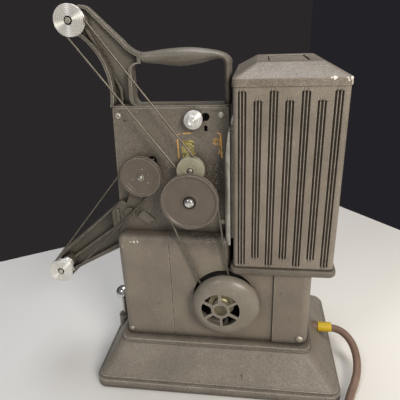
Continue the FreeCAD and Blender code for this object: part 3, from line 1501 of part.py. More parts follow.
def coil_point(turn):
    """Place on the coil's middle line after a number of turns; it winds in, climbs and winds out."""
    inner = coil_outer_r - coil_turns_each * coil_pitch
    level = 0.0
    if turn <= coil_turns_each:
        r = coil_outer_r - coil_pitch * turn
    elif turn <= coil_turns_each + coil_climb:
        share = (turn - coil_turns_each) / coil_climb
        r = inner - coil_pitch * coil_climb / math.pi * math.sin(math.pi * share)
        level = (1 - math.cos(math.pi * share)) / 2
    else:
        r = inner + coil_pitch * (turn - coil_turns_each - coil_climb)
        level = 1.0
    angle = -2 * math.pi * turn
    z = cord_r + cord_lift + level * coil_pitch
    return Vector(coil_x + r * math.cos(angle), coil_y + r * math.sin(angle), z)


def coil_direction(turn):
    step = 0.01
    d = coil_point(turn + step).sub(coil_point(turn - step))
    d.normalize()
    return d


def tube_on(edges, radius):
    """Round tube along a path of edges."""
    path = Part.Wire(edges)
    first = path.Edges[0]
    start = first.valueAt(first.FirstParameter)
    direction = first.tangentAt(first.FirstParameter)
    section = Part.Wire([Part.Circle(start, direction, radius).toShape()])
    return path.makePipeShell([section], True, False), path


def cord():
    """Strain relief, cord, tag band, coil and plug."""
    y, z = cord_exit_y, cord_exit_z
    foot_x = base_x1 - rim_step - slope_step
    run = foot_x - pedestal_x1 - ledge_end - ledge_step
    face_x = foot_x - (z - slope_foot) * run / (base_height - ledge_height - slope_foot)
    out_x = face_x + relief_out
    relief = turned_x(y, z, [(0, face_x - relief_inside), (relief_tail_r, face_x - relief_inside),
                             (relief_r, face_x - relief_wall), (relief_r, face_x),
                             (relief_r * 0.85, out_x), (0, out_x)])
    total = coil_turns_each * 2 + coil_climb
    entry = coil_point(0)
    points = [Vector(out_x, y, z)] + [Vector(*p) for p in cord_route]
    points.append(entry - coil_direction(0) * cord_r * 2)
    edges, radii = rounded_path(points)
    edges.append(line(points[-1], entry))
    free, route = tube_on(edges, cord_r)
    print("cord radii", [round(r, 1) for r in radii], "length", round(route.Length, 1))
    print("cord volume share", round(free.Volume / (math.pi * cord_r ** 2 * route.Length), 4))
    coil_edges = []
    steps = int(total * 4)
    for i in range(steps):
        a, b = i / 4, (i + 1) / 4
        coil_edges += biarc(coil_point(a), coil_direction(a), coil_point(b), coil_direction(b))
    end = coil_point(total)
    heading = coil_direction(total)
    tail = end + heading * plug_tail
    coil_edges.append(line(end, tail))
    coil, coil_path = tube_on(coil_edges, cord_r)
    print("coil length", round(coil_path.Length, 1), "turns", total, "whole cord",
          round(coil_path.Length + route.Length, 1), "least gap", round(coil_gap(total), 2))
    tag_x = out_x + part_gap
    inner_r = cord_r + tag_slack
    tag_r = inner_r + tag_thick
    tag = turned_x(y, z, [(inner_r, tag_x), (tag_r, tag_x), (tag_r, tag_x + tag_length),
                          (inner_r, tag_x + tag_length)])
    return {"strain_relief": relief, "mains_cord": free, "cord_tag": tag, "cord_coil": coil,
            "mains_plug": plug(tail, heading)}


def coil_gap(total):
    """Least gap between the coil's turns, measured on points of its middle line."""
    steps = 720
    places = [coil_point(total * i / steps) for i in range(steps + 1)]
    apart = int(steps * 0.6 / total)
    least = coil_outer_r
    for i in range(0, steps, 3):
        for j in range(i + apart, steps + 1, 2):
            least = min(least, places[i].sub(places[j]).Length)
    return least - 2 * cord_r


def plug(start, direction):
    """Generic two-pin plug at the cord's end, lying on the table."""
    body = turned_x(0, 0, [(0, 0), (plug_neck_r, 0), (plug_r * 0.8, plug_length * 0.4),
                           (plug_r, plug_length * 0.55), (plug_r, plug_length), (0, plug_length)])
    pins = []
    for side in (-1, 1):
        y = side * pin_gap / 2 - pin_thick / 2
        pins.append(slab(plug_length, plug_length + pin_length, y, y + pin_thick, -pin_width / 2,
                         pin_width / 2))
    whole = fuse([body] + pins)
    whole.rotate(Vector(0, 0, 0), Z_AXIS, math.degrees(math.atan2(direction.y, direction.x)))
    whole.translate(start)
    return whole


def build():
    """All pieces by node name, about the middle of the base."""
    pieces = {}
    for part in (base_casting, base_bottom, tilt_screw, pedestal, motor, motor_cover, mechanism_case,
                 handle_and_arm, lower_arm, spindles, drive_pulleys, belts, sprockets, gate_and_lens,
                 lamp_house, light_source, controls, cord):
        pieces.update(part())
    pieces.update(seated_screws(pieces))
    return pieces


def main():
    os.makedirs("parts", exist_ok=True)
    pieces = build()
    for name, shape in pieces.items():
        shape.translate(Vector(frame_shift, 0, 0))
        shape.exportStep("parts/" + name + ".step")
        if not shape.isValid() or not shape.Solids:
            print("check", name, shape.isValid(), len(shape.Solids))
    print(len(pieces), "pieces")


if __name__ == "__main__":
    main()
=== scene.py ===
import math
import random

import bmesh
import bpy
from mathutils import Matrix, Vector


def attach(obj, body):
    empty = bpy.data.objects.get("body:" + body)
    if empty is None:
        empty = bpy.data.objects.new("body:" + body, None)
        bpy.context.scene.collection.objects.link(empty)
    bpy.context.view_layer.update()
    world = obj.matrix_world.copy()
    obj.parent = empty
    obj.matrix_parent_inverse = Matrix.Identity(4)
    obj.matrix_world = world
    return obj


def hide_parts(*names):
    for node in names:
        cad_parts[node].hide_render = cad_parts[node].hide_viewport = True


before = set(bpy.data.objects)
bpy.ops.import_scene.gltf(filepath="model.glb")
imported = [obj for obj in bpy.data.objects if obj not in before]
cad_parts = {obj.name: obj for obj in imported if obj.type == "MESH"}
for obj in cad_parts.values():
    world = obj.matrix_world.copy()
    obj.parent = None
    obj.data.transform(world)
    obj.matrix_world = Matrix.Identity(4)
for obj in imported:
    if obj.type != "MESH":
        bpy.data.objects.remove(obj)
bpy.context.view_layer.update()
MM = 0.001
# The part's own places are written in mm about the middle of its base; the frame's X is this much more.
SHIFT = 25.3


def metres(x, y, z):
    """The frame's place, in metres, of one of the part's own places."""
    return (x + SHIFT) * MM, y * MM, z * MM


# Camera: a little above the belt side and to its right

EYE = (0.06305, -0.387, 0.345)
YAW_PITCH_ROLL = (-8.37, 22.92, 2.12)
LENS, SENSOR, PICTURE = 37.3, 36.0, 400


def look(yaw, pitch, roll):
    """Camera rotation: yaw right, pitch down and roll, in degrees, from level and facing +Y."""
    turned = Matrix.Rotation(math.radians(-yaw), 3, "Z") @ Matrix.Rotation(math.radians(90 - pitch), 3, "X")
    return turned @ Matrix.Rotation(math.radians(-roll), 3, "Z")


def camera():
    """The scene's camera, which frames the object as the picture does."""
    eye = bpy.data.cameras.new("eye")
    eye.sensor_width = SENSOR
    eye.lens = LENS
    holder = bpy.data.objects.new("eye", eye)
    holder.matrix_world = Matrix.Translation(EYE) @ look(*YAW_PITCH_ROLL).to_4x4()
    bpy.context.scene.collection.objects.link(holder)
    bpy.context.scene.camera = holder


camera()


# Materials: how each finish is made, and what that gives the eye

# The first colour here is painted shade for inside corners and recesses, with grime in it; the second is grease,
# which on the side plate is also a painted shadow.
CORNER_SHADE_AND_GRIME, GREASE_AND_SHADOW, NICK, CRUMB = "#1b1814", "#1d1a17", "#2a2621", "#a9a398"
SCUFF, CHIP = "#c4bdaf", "#efebe2"
CRINKLE_EDGE, SATIN_EDGE = "#ded8cb", "#d8d2c5"
DULLED, WHITE = "#9a9690", "#ffffff"


def colour(code):
    """Linear colour from an sRGB hex value."""
    parts = [int(code[i:i + 2], 16) / 255 for i in (1, 3, 5)]
    return [c / 12.92 if c <= 0.04045 else ((c + 0.055) / 1.055) ** 2.4 for c in parts] + [1.0]


def add(tree, kind, inputs=None, out=0, **settings):
    """Adds a node and gives one of its outputs; an input is a value, a hex colour or the output that feeds it."""
    made = tree.nodes.new("ShaderNode" + kind)
    for name, value in settings.items():
        setattr(made, name, value)
    for name, value in (inputs or {}).items():
        if isinstance(value, bpy.types.NodeSocket):
            tree.links.new(value, made.inputs[name])
        else:
            made.inputs[name].default_value = colour(value) if isinstance(value, str) else value
    return made.outputs[out]


def blank(name, **values):
    """A material with its shader's own values set; gives the material, its tree and its shader."""
    material = bpy.data.materials.new(name)
    material.use_nodes = True
    tree = material.node_tree
    shader = tree.nodes["Principled BSDF"]
    for key, value in values.items():
        shader.inputs[key.replace("_", " ")].default_value = value
    return material, tree, shader


def patches(tree, where, size_mm, low, high, a=0.0, b=1.0, detail=1.0, rough=0.5):
    """Uneven patches about size_mm across: a where their noise is under low, b where it is over high."""
    noise = add(tree, "TexNoise", {"Vector": where, "Scale": 1 / (size_mm * MM), "Detail": detail,
                                   "Roughness": rough})
    return add(tree, "MapRange", {0: noise, 1: low, 2: high, 3: a, 4: b})


def spot(tree, where, centre, outer_mm, inner_mm, full=1.0, ragged=None):
    """Share that is full within inner_mm of a centre and none beyond outer_mm, with a ragged edge if given."""
    far = add(tree, "VectorMath", {0: where, 1: metres(*centre)}, "Value", operation="DISTANCE")
    if ragged is not None:
        far = add(tree, "Math", {0: far, 1: ragged}, operation="ADD")
    return add(tree, "MapRange", {0: far, 1: outer_mm * MM, 2: inner_mm * MM, 4: full})


def layered(tree, ground, *coats):
    """A surface's colour: its ground tone with coats over it in turn, each as (share, colour)."""
    for share, coat in coats:
        ground = add(tree, "Mix", {0: share, 6: ground, 7: coat}, 2, data_type="RGBA")
    return ground


def relief(tree, shader, where, size_mm, depth_mm, detail=2.0, rough=0.5, **under):
    """Lumps about size_mm across and depth_mm high on the surface; gives their pattern."""
    lumps = add(tree, "TexNoise", {"Vector": where, "Scale": 1 / (size_mm * MM), "Detail": detail,
                                   "Roughness": rough})
    raised = add(tree, "Bump", {"Height": lumps, "Distance": depth_mm * MM, **under})
    tree.links.new(raised, shader.inputs["Normal"])
    return lumps


def corner_shaded_and_worn(tree, tone, where, worn, wear=0.6, dirt=0.7, reach_mm=3.0, edge_mm=0.8, clean=0.85):
    """A tone darkened in its inside corners and recesses, which is painted shade with grime in it, and the enamel
    rubbed pale along its outer edges.
    """
    near = add(tree, "AmbientOcclusion", {"Distance": reach_mm * MM}, "AO", samples=6)
    true = add(tree, "NewGeometry", out="Normal")
    soft = add(tree, "Bevel", {"Radius": edge_mm * MM}, samples=4)
    turn = add(tree, "VectorMath", {0: soft, 1: true}, "Value", operation="DOT_PRODUCT")
    edges = add(tree, "MapRange", {0: turn, 1: 0.99, 2: 0.9, 4: wear})
    uneven = add(tree, "Math", {0: edges, 1: patches(tree, where, 6.0, 0.35, 0.6, 0.4, 1.0, 3.0)},
                 operation="MULTIPLY")
    rubbed = add(tree, "Math", {0: uneven, 1: add(tree, "MapRange", {0: near, 1: 0.7, 2: 0.9})},
                 operation="MULTIPLY")
    # Painted shade: where nearby parts hem the surface in, the tone darkens towards a near black, broken up finely
    # like grime.
    open_air = add(tree, "Math", {0: near, 1: patches(tree, where, 0.9, 0.3, 0.7, -0.14, 0.14)}, operation="ADD")
    corner_shade = add(tree, "MapRange", {0: open_air, 1: clean - 0.5, 2: clean, 3: dirt, 4: 0.0})
    return layered(tree, tone, (rubbed, worn), (corner_shade, CORNER_SHADE_AND_GRIME))


def crinkle_enamel(name, dark, mid, light, lump_mm=0.9, depth_mm=0.12, rough=0.46, fleck="#bdbdbd", chips=(),
                   grime_and_shadow=(), **wear):
    """Crinkle enamel, stoved on cast or pressed metal: a pebbled skin, which breaks the light into fine points,
    with a few pale scuffs and dark nicks. The real grain is about 0.6 mm; it is drawn a little coarser, so that
    it shows. Chips are (x, y, z, radius) and grime and shadow patches are (x, y, z, radius, share), in mm: dark
    grease patches, and the side plate's patch by the lamp house is a painted shadow drawn as grease."""
    material, tree, shader = blank(name, Roughness=rough, Metallic=0.0, IOR=1.5)
    where = add(tree, "TexCoord", out="Object")
    soft = add(tree, "Bevel", {"Radius": 0.5 * MM}, samples=4)
    pebbles = relief(tree, shader, where, lump_mm, depth_mm, 2.5, 0.6, Normal=soft)
    first, second = [patches(tree, where, 38.0, low, low + 0.16, detail=3.0, rough=0.55) for low in (0.34, 0.5)]
    tone = layered(tree, dark, (first, mid), (second, light))
    speck = layered(tree, fleck, (add(tree, "MapRange", {0: pebbles, 1: 0.38, 2: 0.66}), WHITE))
    pebbled = add(tree, "Mix", {0: 0.55, 6: tone, 7: speck}, 2, data_type="RGBA", blend_type="MULTIPLY")
    scuffs = add(tree, "Math", {0: patches(tree, where, 1.4, 0.62, 0.7),
                                1: patches(tree, where, 24.0, 0.54, 0.68, 0.0, 0.4, 2.0)}, operation="MULTIPLY")
    nicks = patches(tree, where, 5.0, 0.76, 0.79, 0.0, 0.7)
    marked = layered(tree, pebbled, (scuffs, SCUFF), (nicks, NICK))
    # Painted shade in the inside corners and recesses, and edges rubbed pale.
    tone = corner_shaded_and_worn(tree, marked, where, CRINKLE_EDGE, **wear)
    ragged = patches(tree, where, 1.5, 0.3, 0.7, -0.6 * MM, 0.6 * MM) if chips else None
    for *centre, radius in chips:
        tone = layered(tree, tone, (spot(tree, where, centre, radius, radius - 0.3, ragged=ragged), CHIP))
    # Each patch is dark grease with pale crumbs; the side plate's patch by the lamp house is a painted shadow.
    for *centre, radius, share in grime_and_shadow:
        grease_and_shadow_patch = add(tree, "Math", {0: spot(tree, where, centre, radius, radius * 0.4, share),
                                    1: patches(tree, where, 1.3, 0.35, 0.6, 0.55, 1.0, 2.0)}, operation="MULTIPLY")
        crumbs = add(tree, "Math", {0: grease_and_shadow_patch, 1: patches(tree, where, 1.1, 0.62, 0.67, 0.0, 0.8)},
                     operation="MULTIPLY")
        tone = layered(tree, tone, (grease_and_shadow_patch, GREASE_AND_SHADOW), (crumbs, CRUMB))
    tree.links.new(tone, shader.inputs["Base Color"])
    return material


def satin_enamel(name, tone, worn, rough=0.42, **wear):
    """Satin enamel or paint, sprayed on turned castings: smooth, with a soft wide highlight and rubbed patches."""
    material, tree, shader = blank(name, Roughness=rough, Metallic=0.0, IOR=1.5)
    where = add(tree, "TexCoord", out="Object")
    rubbed = layered(tree, tone, (patches(tree, where, 9.0, 0.45, 0.8, detail=4.0, rough=0.6), worn))
    # Painted shade in the inside corners and recesses, and edges rubbed pale.
    tree.links.new(corner_shaded_and_worn(tree, rubbed, where, SATIN_EDGE, **wear), shader.inputs["Base Color"])
    relief(tree, shader, where, 0.9, 0.04)
    return material


def bare_metal(name, tone, rough, marks_mm=0.4, depth_mm=0.02):
    """Turned, cast or plated metal: fine tool marks break up its highlight, and it has dulled in patches."""
    material, tree, shader = blank(name, Metallic=1.0, Roughness=rough)
    where = add(tree, "TexCoord", out="Object")
    shade = layered(tree, DULLED, (patches(tree, where, 7.0, 0.35, 0.65, detail=3.0), WHITE))
    dull = add(tree, "Mix", {0: 0.35, 6: tone, 7: shade}, 2, data_type="RGBA", blend_type="MULTIPLY")
    tree.links.new(dull, shader.inputs["Base Color"])
    relief(tree, shader, where, marks_mm, depth_mm)
    return material


def spun_aluminium(name, middle, pitch_mm=1.5, dull="#dedacd", bright=WHITE):
    """Aluminium faced on a lathe: cutter rings about its middle, which spread the light into a fan.
    The real rings are about 0.3 mm apart; they are drawn coarser, so that they show."""
    material, tree, shader = blank(name, Metallic=0.6, Roughness=0.46, Anisotropic=0.94,
                                   Anisotropic_Rotation=0.25)
    x, z = middle
    out = add(tree, "VectorMath", {0: add(tree, "TexCoord", out="Object"), 1: metres(x, 0, z)},
              operation="SUBTRACT")
    flat = add(tree, "VectorMath", {0: out, 1: (1, 0, 1)}, operation="MULTIPLY")
    reach = add(tree, "VectorMath", {0: flat}, "Value", operation="LENGTH")
    rings = add(tree, "Math", {0: reach, 1: 2 * math.pi / (pitch_mm * MM)}, operation="MULTIPLY")
    wave = add(tree, "Math", {0: rings}, operation="SINE")
    tone = layered(tree, dull, (add(tree, "MapRange", {0: wave, 1: -1.0}), bright))
    tree.links.new(tone, shader.inputs["Base Color"])
    round_way = add(tree, "VectorMath", {0: flat, 1: (0, 1, 0)}, operation="CROSS_PRODUCT")
    tree.links.new(add(tree, "VectorMath", {0: round_way}, operation="NORMALIZE"), shader.inputs["Tangent"])
    return material


def moulded(name, tone, light, rough=0.35, grain_mm=1.2, depth_mm=0.03):
    """Moulded plastic or rubber: even colour with a faint bloom."""
    material, tree, shader = blank(name, Roughness=rough, IOR=1.5)
    where = add(tree, "TexCoord", out="Object")
    bloom = layered(tree, tone, (patches(tree, where, 14.0, 0.35, 0.75, detail=3.0), light))
    tree.links.new(bloom, shader.inputs["Base Color"])
    relief(tree, shader, where, grain_mm, depth_mm)
    return material


def clear_glass(name, tone):
    """Blown or ground glass of lamps and lenses: clear, and seen mostly by its highlights."""
    return blank(name, Roughness=0.02, IOR=1.5, Transmission_Weight=1.0, Base_Color=colour(tone))[0]


# Stoved crinkle enamel: warm grey, matt and pebbled. Each casting has its own tone, grain, grime, wear and painted
# shade in its corners; the side plate's dark patch by the lamp house is a painted shadow.
CASE_TONES = ("#827a6f", "#897f73", "#918879")
enamel = crinkle_enamel("crinkle_enamel", *CASE_TONES, 0.9, 0.14, reach_mm=6.0, clean=0.93, wear=0.9)
pedestal_enamel = crinkle_enamel("pedestal_enamel", *CASE_TONES, 0.9, 0.14, reach_mm=7.0, clean=0.95, wear=1.0,
                                 dirt=0.85,
                                 chips=((-79.0, -44.0, 152.6, 1.2), (-75.6, -44.0, 152.8, 0.9),
                                        (-83.0, -44.0, 152.4, 0.8), (-91.0, -44.0, 147.0, 0.7)),
                                 grime_and_shadow=((-84.0, -30.0, 158.0, 14.0, 0.5), (-66.0, -31.0, 158.0, 17.0, 0.6),
                                        (-44.0, -32.0, 158.0, 18.0, 0.7), (-20.0, -33.0, 158.0, 19.0, 0.75),
                                        (2.0, -34.0, 158.0, 21.0, 0.85)))
base_enamel = crinkle_enamel("base_enamel", "#857e73", "#8f867a", "#989084", 1.1, 0.22, 0.46, "#9c9c9c",
                             reach_mm=10.0, dirt=0.9, wear=1.0, edge_mm=1.2, clean=0.96)
house_enamel = crinkle_enamel("lamp_house_enamel", "#867d71", "#8f8578", "#988e81", 0.9, 0.09, reach_mm=2.0,
                              dirt=0.6, edge_mm=0.5, wear=0.8)
cap_enamel = crinkle_enamel("cap_enamel", "#837a6e", "#8c8174", "#958a7d", 1.3, 0.24, 0.42, "#9a9a9a",
                            chips=((95.6, -51.0, 305.2, 1.9), (93.5, -51.0, 305.0, 1.0),
                                   (109.3, -50.4, 305.0, 2.4), (109.8, -49.8, 301.0, 1.7),
                                   (104.8, -51.0, 304.6, 0.8), (105.6, -51.0, 302.6, 0.7),
                                   (17.0, -51.0, 305.0, 1.3)))
# The side plate's dark patch at its right, by the lamp house, is the lamp house's shadow painted on, drawn as
# grease with crumbs.
plate_enamel = crinkle_enamel("plate_enamel", "#7a7368", "#80786d", "#867d71", 1.2, 0.22, 0.4, "#a4a4a4",
                              reach_mm=12.0, dirt=0.75, clean=0.88, grime_and_shadow=((7.0, -27.0, 212.0, 34.0, 0.8),))
arm_enamel = crinkle_enamel("arm_enamel", "#6f695e", "#797267", "#837d70", 1.0, 0.14, 0.38, reach_mm=5.0,
                            dirt=0.9, wear=1.0, clean=0.93)
low_arm_enamel = crinkle_enamel("lower_arm_enamel", "#5a544a", "#645d52", "#70695d", 1.0, 0.14, 0.4,
                                reach_mm=5.0, dirt=0.9)
tray_enamel = crinkle_enamel("tray_enamel", "#665f55", "#6f685d", "#7a7367", 0.9, 0.1)

# Sprayed satin enamel: smooth, with a soft wide highlight
pulley_enamel = satin_enamel("pulley_enamel", "#645a50", "#6c6258", 0.4, wear=1.0, edge_mm=0.5, reach_mm=2.0)
cover_enamel = satin_enamel("cover_enamel", "#827b70", "#8d867b", 0.36, wear=1.0, edge_mm=0.6)
grey_enamel = satin_enamel("grey_enamel", "#a19e8a", "#8c8871", 0.45)
black_enamel = satin_enamel("black_enamel", "#23211f", "#35322f", 0.5)
pale_enamel = satin_enamel("pale_enamel", "#e4e0d6", "#cfc9bc", 0.4)

# Gilt paint, worn and faded: yellow, without the shine of metal
gilt_paint = satin_enamel("worn_gilt", "#ffb62e", "#dc9a2c", 0.35)
faded_gilt = satin_enamel("faded_gilt", "#ecd94a", "#b9ab42", 0.45)

# Blued steel: dark, with a dull gleam; plated steel of screws: pale and matt; drawn spring steel: grey
dark_steel = bare_metal("blued_steel", "#4a4641", 0.4)
screw_steel = bare_metal("screw_steel", "#dcd7cb", 0.55)
spring_wire = bare_metal("spring_wire", "#868076", 0.42)

# Brass: yellow and bright where it runs, greyed where it has aged
brass = bare_metal("turned_brass", "#c8a45a", 0.3)
aged_brass = bare_metal("aged_brass", "#b8b294", 0.5)

# Aluminium, as cast and as polished strip: pale, with a broad soft gleam
aluminium_cast = bare_metal("aluminium_cast", "#cfcdc6", 0.35, 0.8, 0.05)
polished = bare_metal("polished_strip", "#e0dcd2", 0.5, 1.5, 0.05)

# Nickel and chrome plate: warm grey and cool white, with clear highlights
nickel = bare_metal("nickel_plate", "#b9b5ab", 0.3)
chrome = bare_metal("chrome_plate", "#e6e6e4", 0.2)

# Moulded rubber: dull, with a bloom; moulded phenolic resin and plastic: darker and glossier; tape: yellow
cord_rubber = moulded("cord_rubber", "#785f50", "#877060", 0.45, 0.8, 0.03)
pad_rubber = moulded("pad_rubber", "#1f1e1d", "#2c2a28", 0.7)
phenolic = moulded("moulded_phenolic", "#33201a", "#402a22", 0.25)
black_plastic = moulded("black_plastic", "#161515", "#242221", 0.3)
yellow_tape = moulded("yellow_tape", "#dcbc20", "#c9a41c", 0.45)

# Glass: the lamp's is neutral, the lenses' a little blue
lamp_glass = clear_glass("lamp_glass", "#fbfaf6")
lens_glass = clear_glass("lens_glass", "#eef3fb")


# Mesh helpers

def piece(name, mesh, material, body, replaces=(), crease=32):
    """Adds a mesh as a finished piece that rides on a body."""
    made = bpy.data.objects.new(name, mesh)
    bpy.context.scene.collection.objects.link(made)
    mesh.materials.clear()
    mesh.materials.append(material)
    mesh.shade_smooth()
    if crease:
        mesh.set_sharp_from_angle(angle=math.radians(crease))
    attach(made, body)
    if replaces:
        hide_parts(*replaces)
    return made


def mesh_from(verts, faces):
    """Mesh of corners and faces, with corners that meet joined and its faces turned outwards."""
    mesh = bpy.data.meshes.new("form")
    mesh.from_pydata([Vector(v) for v in verts], [], faces)
    mesh.validate()
    tidy = bmesh.new()
    tidy.from_mesh(mesh)
    bmesh.ops.remove_doubles(tidy, verts=tidy.verts, dist=1e-6)
    bmesh.ops.recalc_face_normals(tidy, faces=tidy.faces)
    tidy.to_mesh(mesh)
    tidy.free()
    return mesh


def joined(meshes):
    """One mesh from several."""
    whole = bmesh.new()
    for mesh in meshes:
        whole.from_mesh(mesh)
    made = bpy.data.meshes.new("joined")
    whole.to_mesh(made)
    whole.free()
    return made


def eased(line, radius, steps=3):
    """A line of places with its corners rounded, at most to a third of the shorter side."""
    done = [line[0]]
    for before, corner, after in zip(line, line[1:], line[2:]):
        back, on = math.dist(before, corner), math.dist(corner, after)
        reach = min(radius, back / 3, on / 3)
        if reach < 1e-5:
            done.append(corner)
            continue
        for i in range(steps + 1):
            t = i / steps
            done.append(tuple(c + (b - c) * reach / back * (1 - t) ** 2 + (a - c) * reach / on * t ** 2
                              for b, c, a in zip(before, corner, after)))
    return done + [line[-1]]


def skin(loops, ring=False):
    """Mesh over a row of loops of points (mm); the ends are closed, or joined to each other in a ring."""
    count = len(loops[0])
    verts = [metres(*place) for loop in loops for place in loop]
    faces = []
    for i in range(len(loops) if ring else len(loops) - 1):
        j = (i + 1) % len(loops)
        for k in range(count):
            n = (k + 1) % count
            faces.append((i * count + k, i * count + n, j * count + n, j * count + k))
    if not ring:
        faces += [tuple(range(count)), tuple(range((len(loops) - 1) * count, len(loops) * count))]
    return mesh_from(verts, faces)


def turned(x, z, profile, segments=96, ease=0.25, ring=False):
    """Lathe form about a Y axis at x, z (mm); profile is (radius, y) in mm, from axis to axis or a ring."""
    turns = [2 * math.pi * k / segments for k in range(segments)]
    return skin([[(x + r * math.cos(a), y, z + r * math.sin(a)) for a in turns]
                 for r, y in eased(profile + profile[:1] if ring else profile, ease)], ring)


def boxed(sections, ease=0.8, ring=False, around=8):
    """Form through level rectangles with round corners, each (x0, x1, y0, y1, z, corner) in mm."""
    loops = []
    for x0, x1, y0, y1, z, r in eased(sections + sections[:1] if ring else sections, ease):
        loop = []
        for cx, cy, start in ((x1 - r, y1 - r, 0), (x0 + r, y1 - r, 90), (x0 + r, y0 + r, 180),
                              (x1 - r, y0 + r, 270)):
            for k in range(around + 1):
                a = math.radians(start + 90 * k / around)
                loop.append((cx + r * math.cos(a), cy + r * math.sin(a), z))
        loops.append(loop)
    return skin(loops, ring)


def grown(rectangle, out):
    """A level rectangle (x0, x1, y0, y1) made larger all round."""
    x0, x1, y0, y1 = rectangle
    return x0 - out, x1 + out, y0 - out, y1 + out


def turn_to_z(mesh, x, y):
    """Turns a lathe form about the Y axis at the origin to one about the Z axis at x, y (mm)."""
    mesh.transform(Matrix.Translation(((x + SHIFT) * MM, y * MM, 0)) @ Matrix.Rotation(math.pi / 2, 4, "X")
                   @ Matrix.Translation((-SHIFT * MM, 0, 0)))
    return mesh


def turn_to_x(mesh, y, z):
    """Turns a lathe form about the Y axis at the origin to one about the X axis at y, z (mm)."""
    mesh.transform(Matrix.Translation((SHIFT * MM, y * MM, z * MM)) @ Matrix.Rotation(-math.pi / 2, 4, "Z")
                   @ Matrix.Translation((-SHIFT * MM, 0, 0)))
    return mesh


CORD_R = 4.0
EXIT_X, EXIT_Z = 108.37, 28.0
ROUTE = [
    (124.0, 0.0, 28.0), (136.0, -4.8, 26.6), (143.9, -15.6, 22.2), (146.7, -30.0, 16.0), (145.0, -44.5, 10.2),
    (139.5, -58.5, 6.2), (132.8, -72.0, 4.6), (128.0, -86.5, 4.2), (125.0, -102.0, 4.2), (124.4, -118.0, 4.2),
    (123.4, -134.0, 4.2), (123.6, -146.0, 4.2), (123.8, -161.0, 4.2),
]
COIL_START = (123.5, -172.0, 4.2)
TABLE_GAP = 0.2
# The coil's middle, the radius of its outer turn, the room for a turn, the turns in each of its two layers, and
# the part of a turn that climbs between them
COIL = (66.3, -180.0)
COIL_R = 57.1
PITCH = 8.6
TURNS_EACH = 2.5
CLIMB = 0.5
STEPS_A_TURN = 24
TAIL = (10, 24)


def coil_place(turn):
    """Middle line of the put-away coil: in, up and out again."""
    inner = COIL_R - TURNS_EACH * PITCH
    level = 0.0
    if turn <= TURNS_EACH:
        r = COIL_R - PITCH * turn
    elif turn <= TURNS_EACH + CLIMB:
        share = (turn - TURNS_EACH) / CLIMB
        r = inner - PITCH * CLIMB / math.pi * math.sin(math.pi * share)
        level = (1 - math.cos(math.pi * share)) / 2
    else:
        r = inner + PITCH * (turn - TURNS_EACH - CLIMB)
        level = 1.0
    a = -2 * math.pi * turn
    return COIL[0] + r * math.cos(a), COIL[1] + r * math.sin(a), CORD_R + TABLE_GAP + level * PITCH


def mains_lead():
    """Round rubber lead: round the base's corner, along the table and into its coil."""
    points = [(EXIT_X, 0.0, EXIT_Z)] + ROUTE + [COIL_START]
    turns = 2 * TURNS_EACH + CLIMB
    steps = int(turns * STEPS_A_TURN)
    points += [coil_place(turns * i / steps) for i in range(steps + 1)]
    x, y, z = points[-1]
    points += [(x, y + on, z) for on in TAIL]
    line = bpy.data.curves.new("mains_lead", "CURVE")
    line.dimensions = "3D"
    line.bevel_depth = CORD_R * MM
    line.bevel_resolution = 6
    line.resolution_u = 6
    line.use_fill_caps = True
    spline = line.splines.new("NURBS")
    spline.points.add(len(points) - 1)
    for point, place in zip(spline.points, points):
        point.co = (*metres(*place), 1.0)
    spline.order_u = 3
    spline.use_endpoint_u = True
    line.materials.append(cord_rubber)
    lead = bpy.data.objects.new("mains_lead", line)
    bpy.context.scene.collection.objects.link(lead)
    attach(lead, "chassis")
    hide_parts("mains_cord", "cord_coil")
    return lead


mains_lead()


# CAD nodes that keep their shape, by the finish that each gets

KEPT = {
    black_enamel: ("base_bottom_plate", "motor_body", "shutter_disc", "control_bodies"),
    screw_steel: ("housing_screws", "upper_spindle", "lower_spindle"),
    nickel: ("motor_shaft", "feed_shaft", "tilt_screw", "aperture_plate", "pressure_shoe",
             "upper_keeper", "lower_keeper", "switch_lever"),
    chrome: ("upper_sprocket", "lower_sprocket", "lamp_mirror"),
    aluminium_cast: ("blower_fan",),
    brass: ("shaft_bushings", "lamp_socket"),
    aged_brass: ("motor_pulley",),
    polished: ("light_shroud",),
    cord_rubber: ("strain_relief",),
    yellow_tape: ("cord_tag",),
    phenolic: ("mains_plug",),
    pad_rubber: ("base_pads",),
    lamp_glass: ("lamp_bulb",),
    lens_glass: ("lens_glass", "condenser_lens"),
    plate_enamel: ("belt_side_plate",),
    dark_steel: ("oil_cup",),
    cover_enamel: ("motor_cover",),
    arm_enamel: ("handle_and_upper_arm",),
    low_arm_enamel: ("lower_arm",),
    enamel: ("pedestal_rear_cover", "mechanism_case", "lens_holder"),
    pedestal_enamel: ("pedestal_housing",),
}
for finish, names in KEPT.items():
    for name in names:
        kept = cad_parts[name].data.materials
        kept.clear()
        kept.append(finish)


# Base casting: rolled rim, two steps, slope, and the ledge that the pedestal stands on

# Half the base's length and width at its rim, and where the pedestal's foot is
BASE_X, BASE_Y = 124.0, 82.0
PEDESTAL_X0, PEDESTAL_X1, PEDESTAL_Y = -96.7, 90.3, 44.0
BASE_TOP = 42.0
LEDGE_X, LEDGE_Y = 4.5, 10.0
TILT_X = -113.2


def level(x_in, y_in, z, corner):
    """Level outline of the base, drawn in from its rim."""
    return (x_in - BASE_X, BASE_X - x_in, y_in - BASE_Y, BASE_Y - y_in, z, corner)


def ledge(out, z, corner):
    """Level outline round the pedestal's foot, on the ledge or a little outside it."""
    x, y = LEDGE_X + out, LEDGE_Y + out
    return (PEDESTAL_X0 - x, PEDESTAL_X1 + x, -PEDESTAL_Y - y, PEDESTAL_Y + y, z, corner)


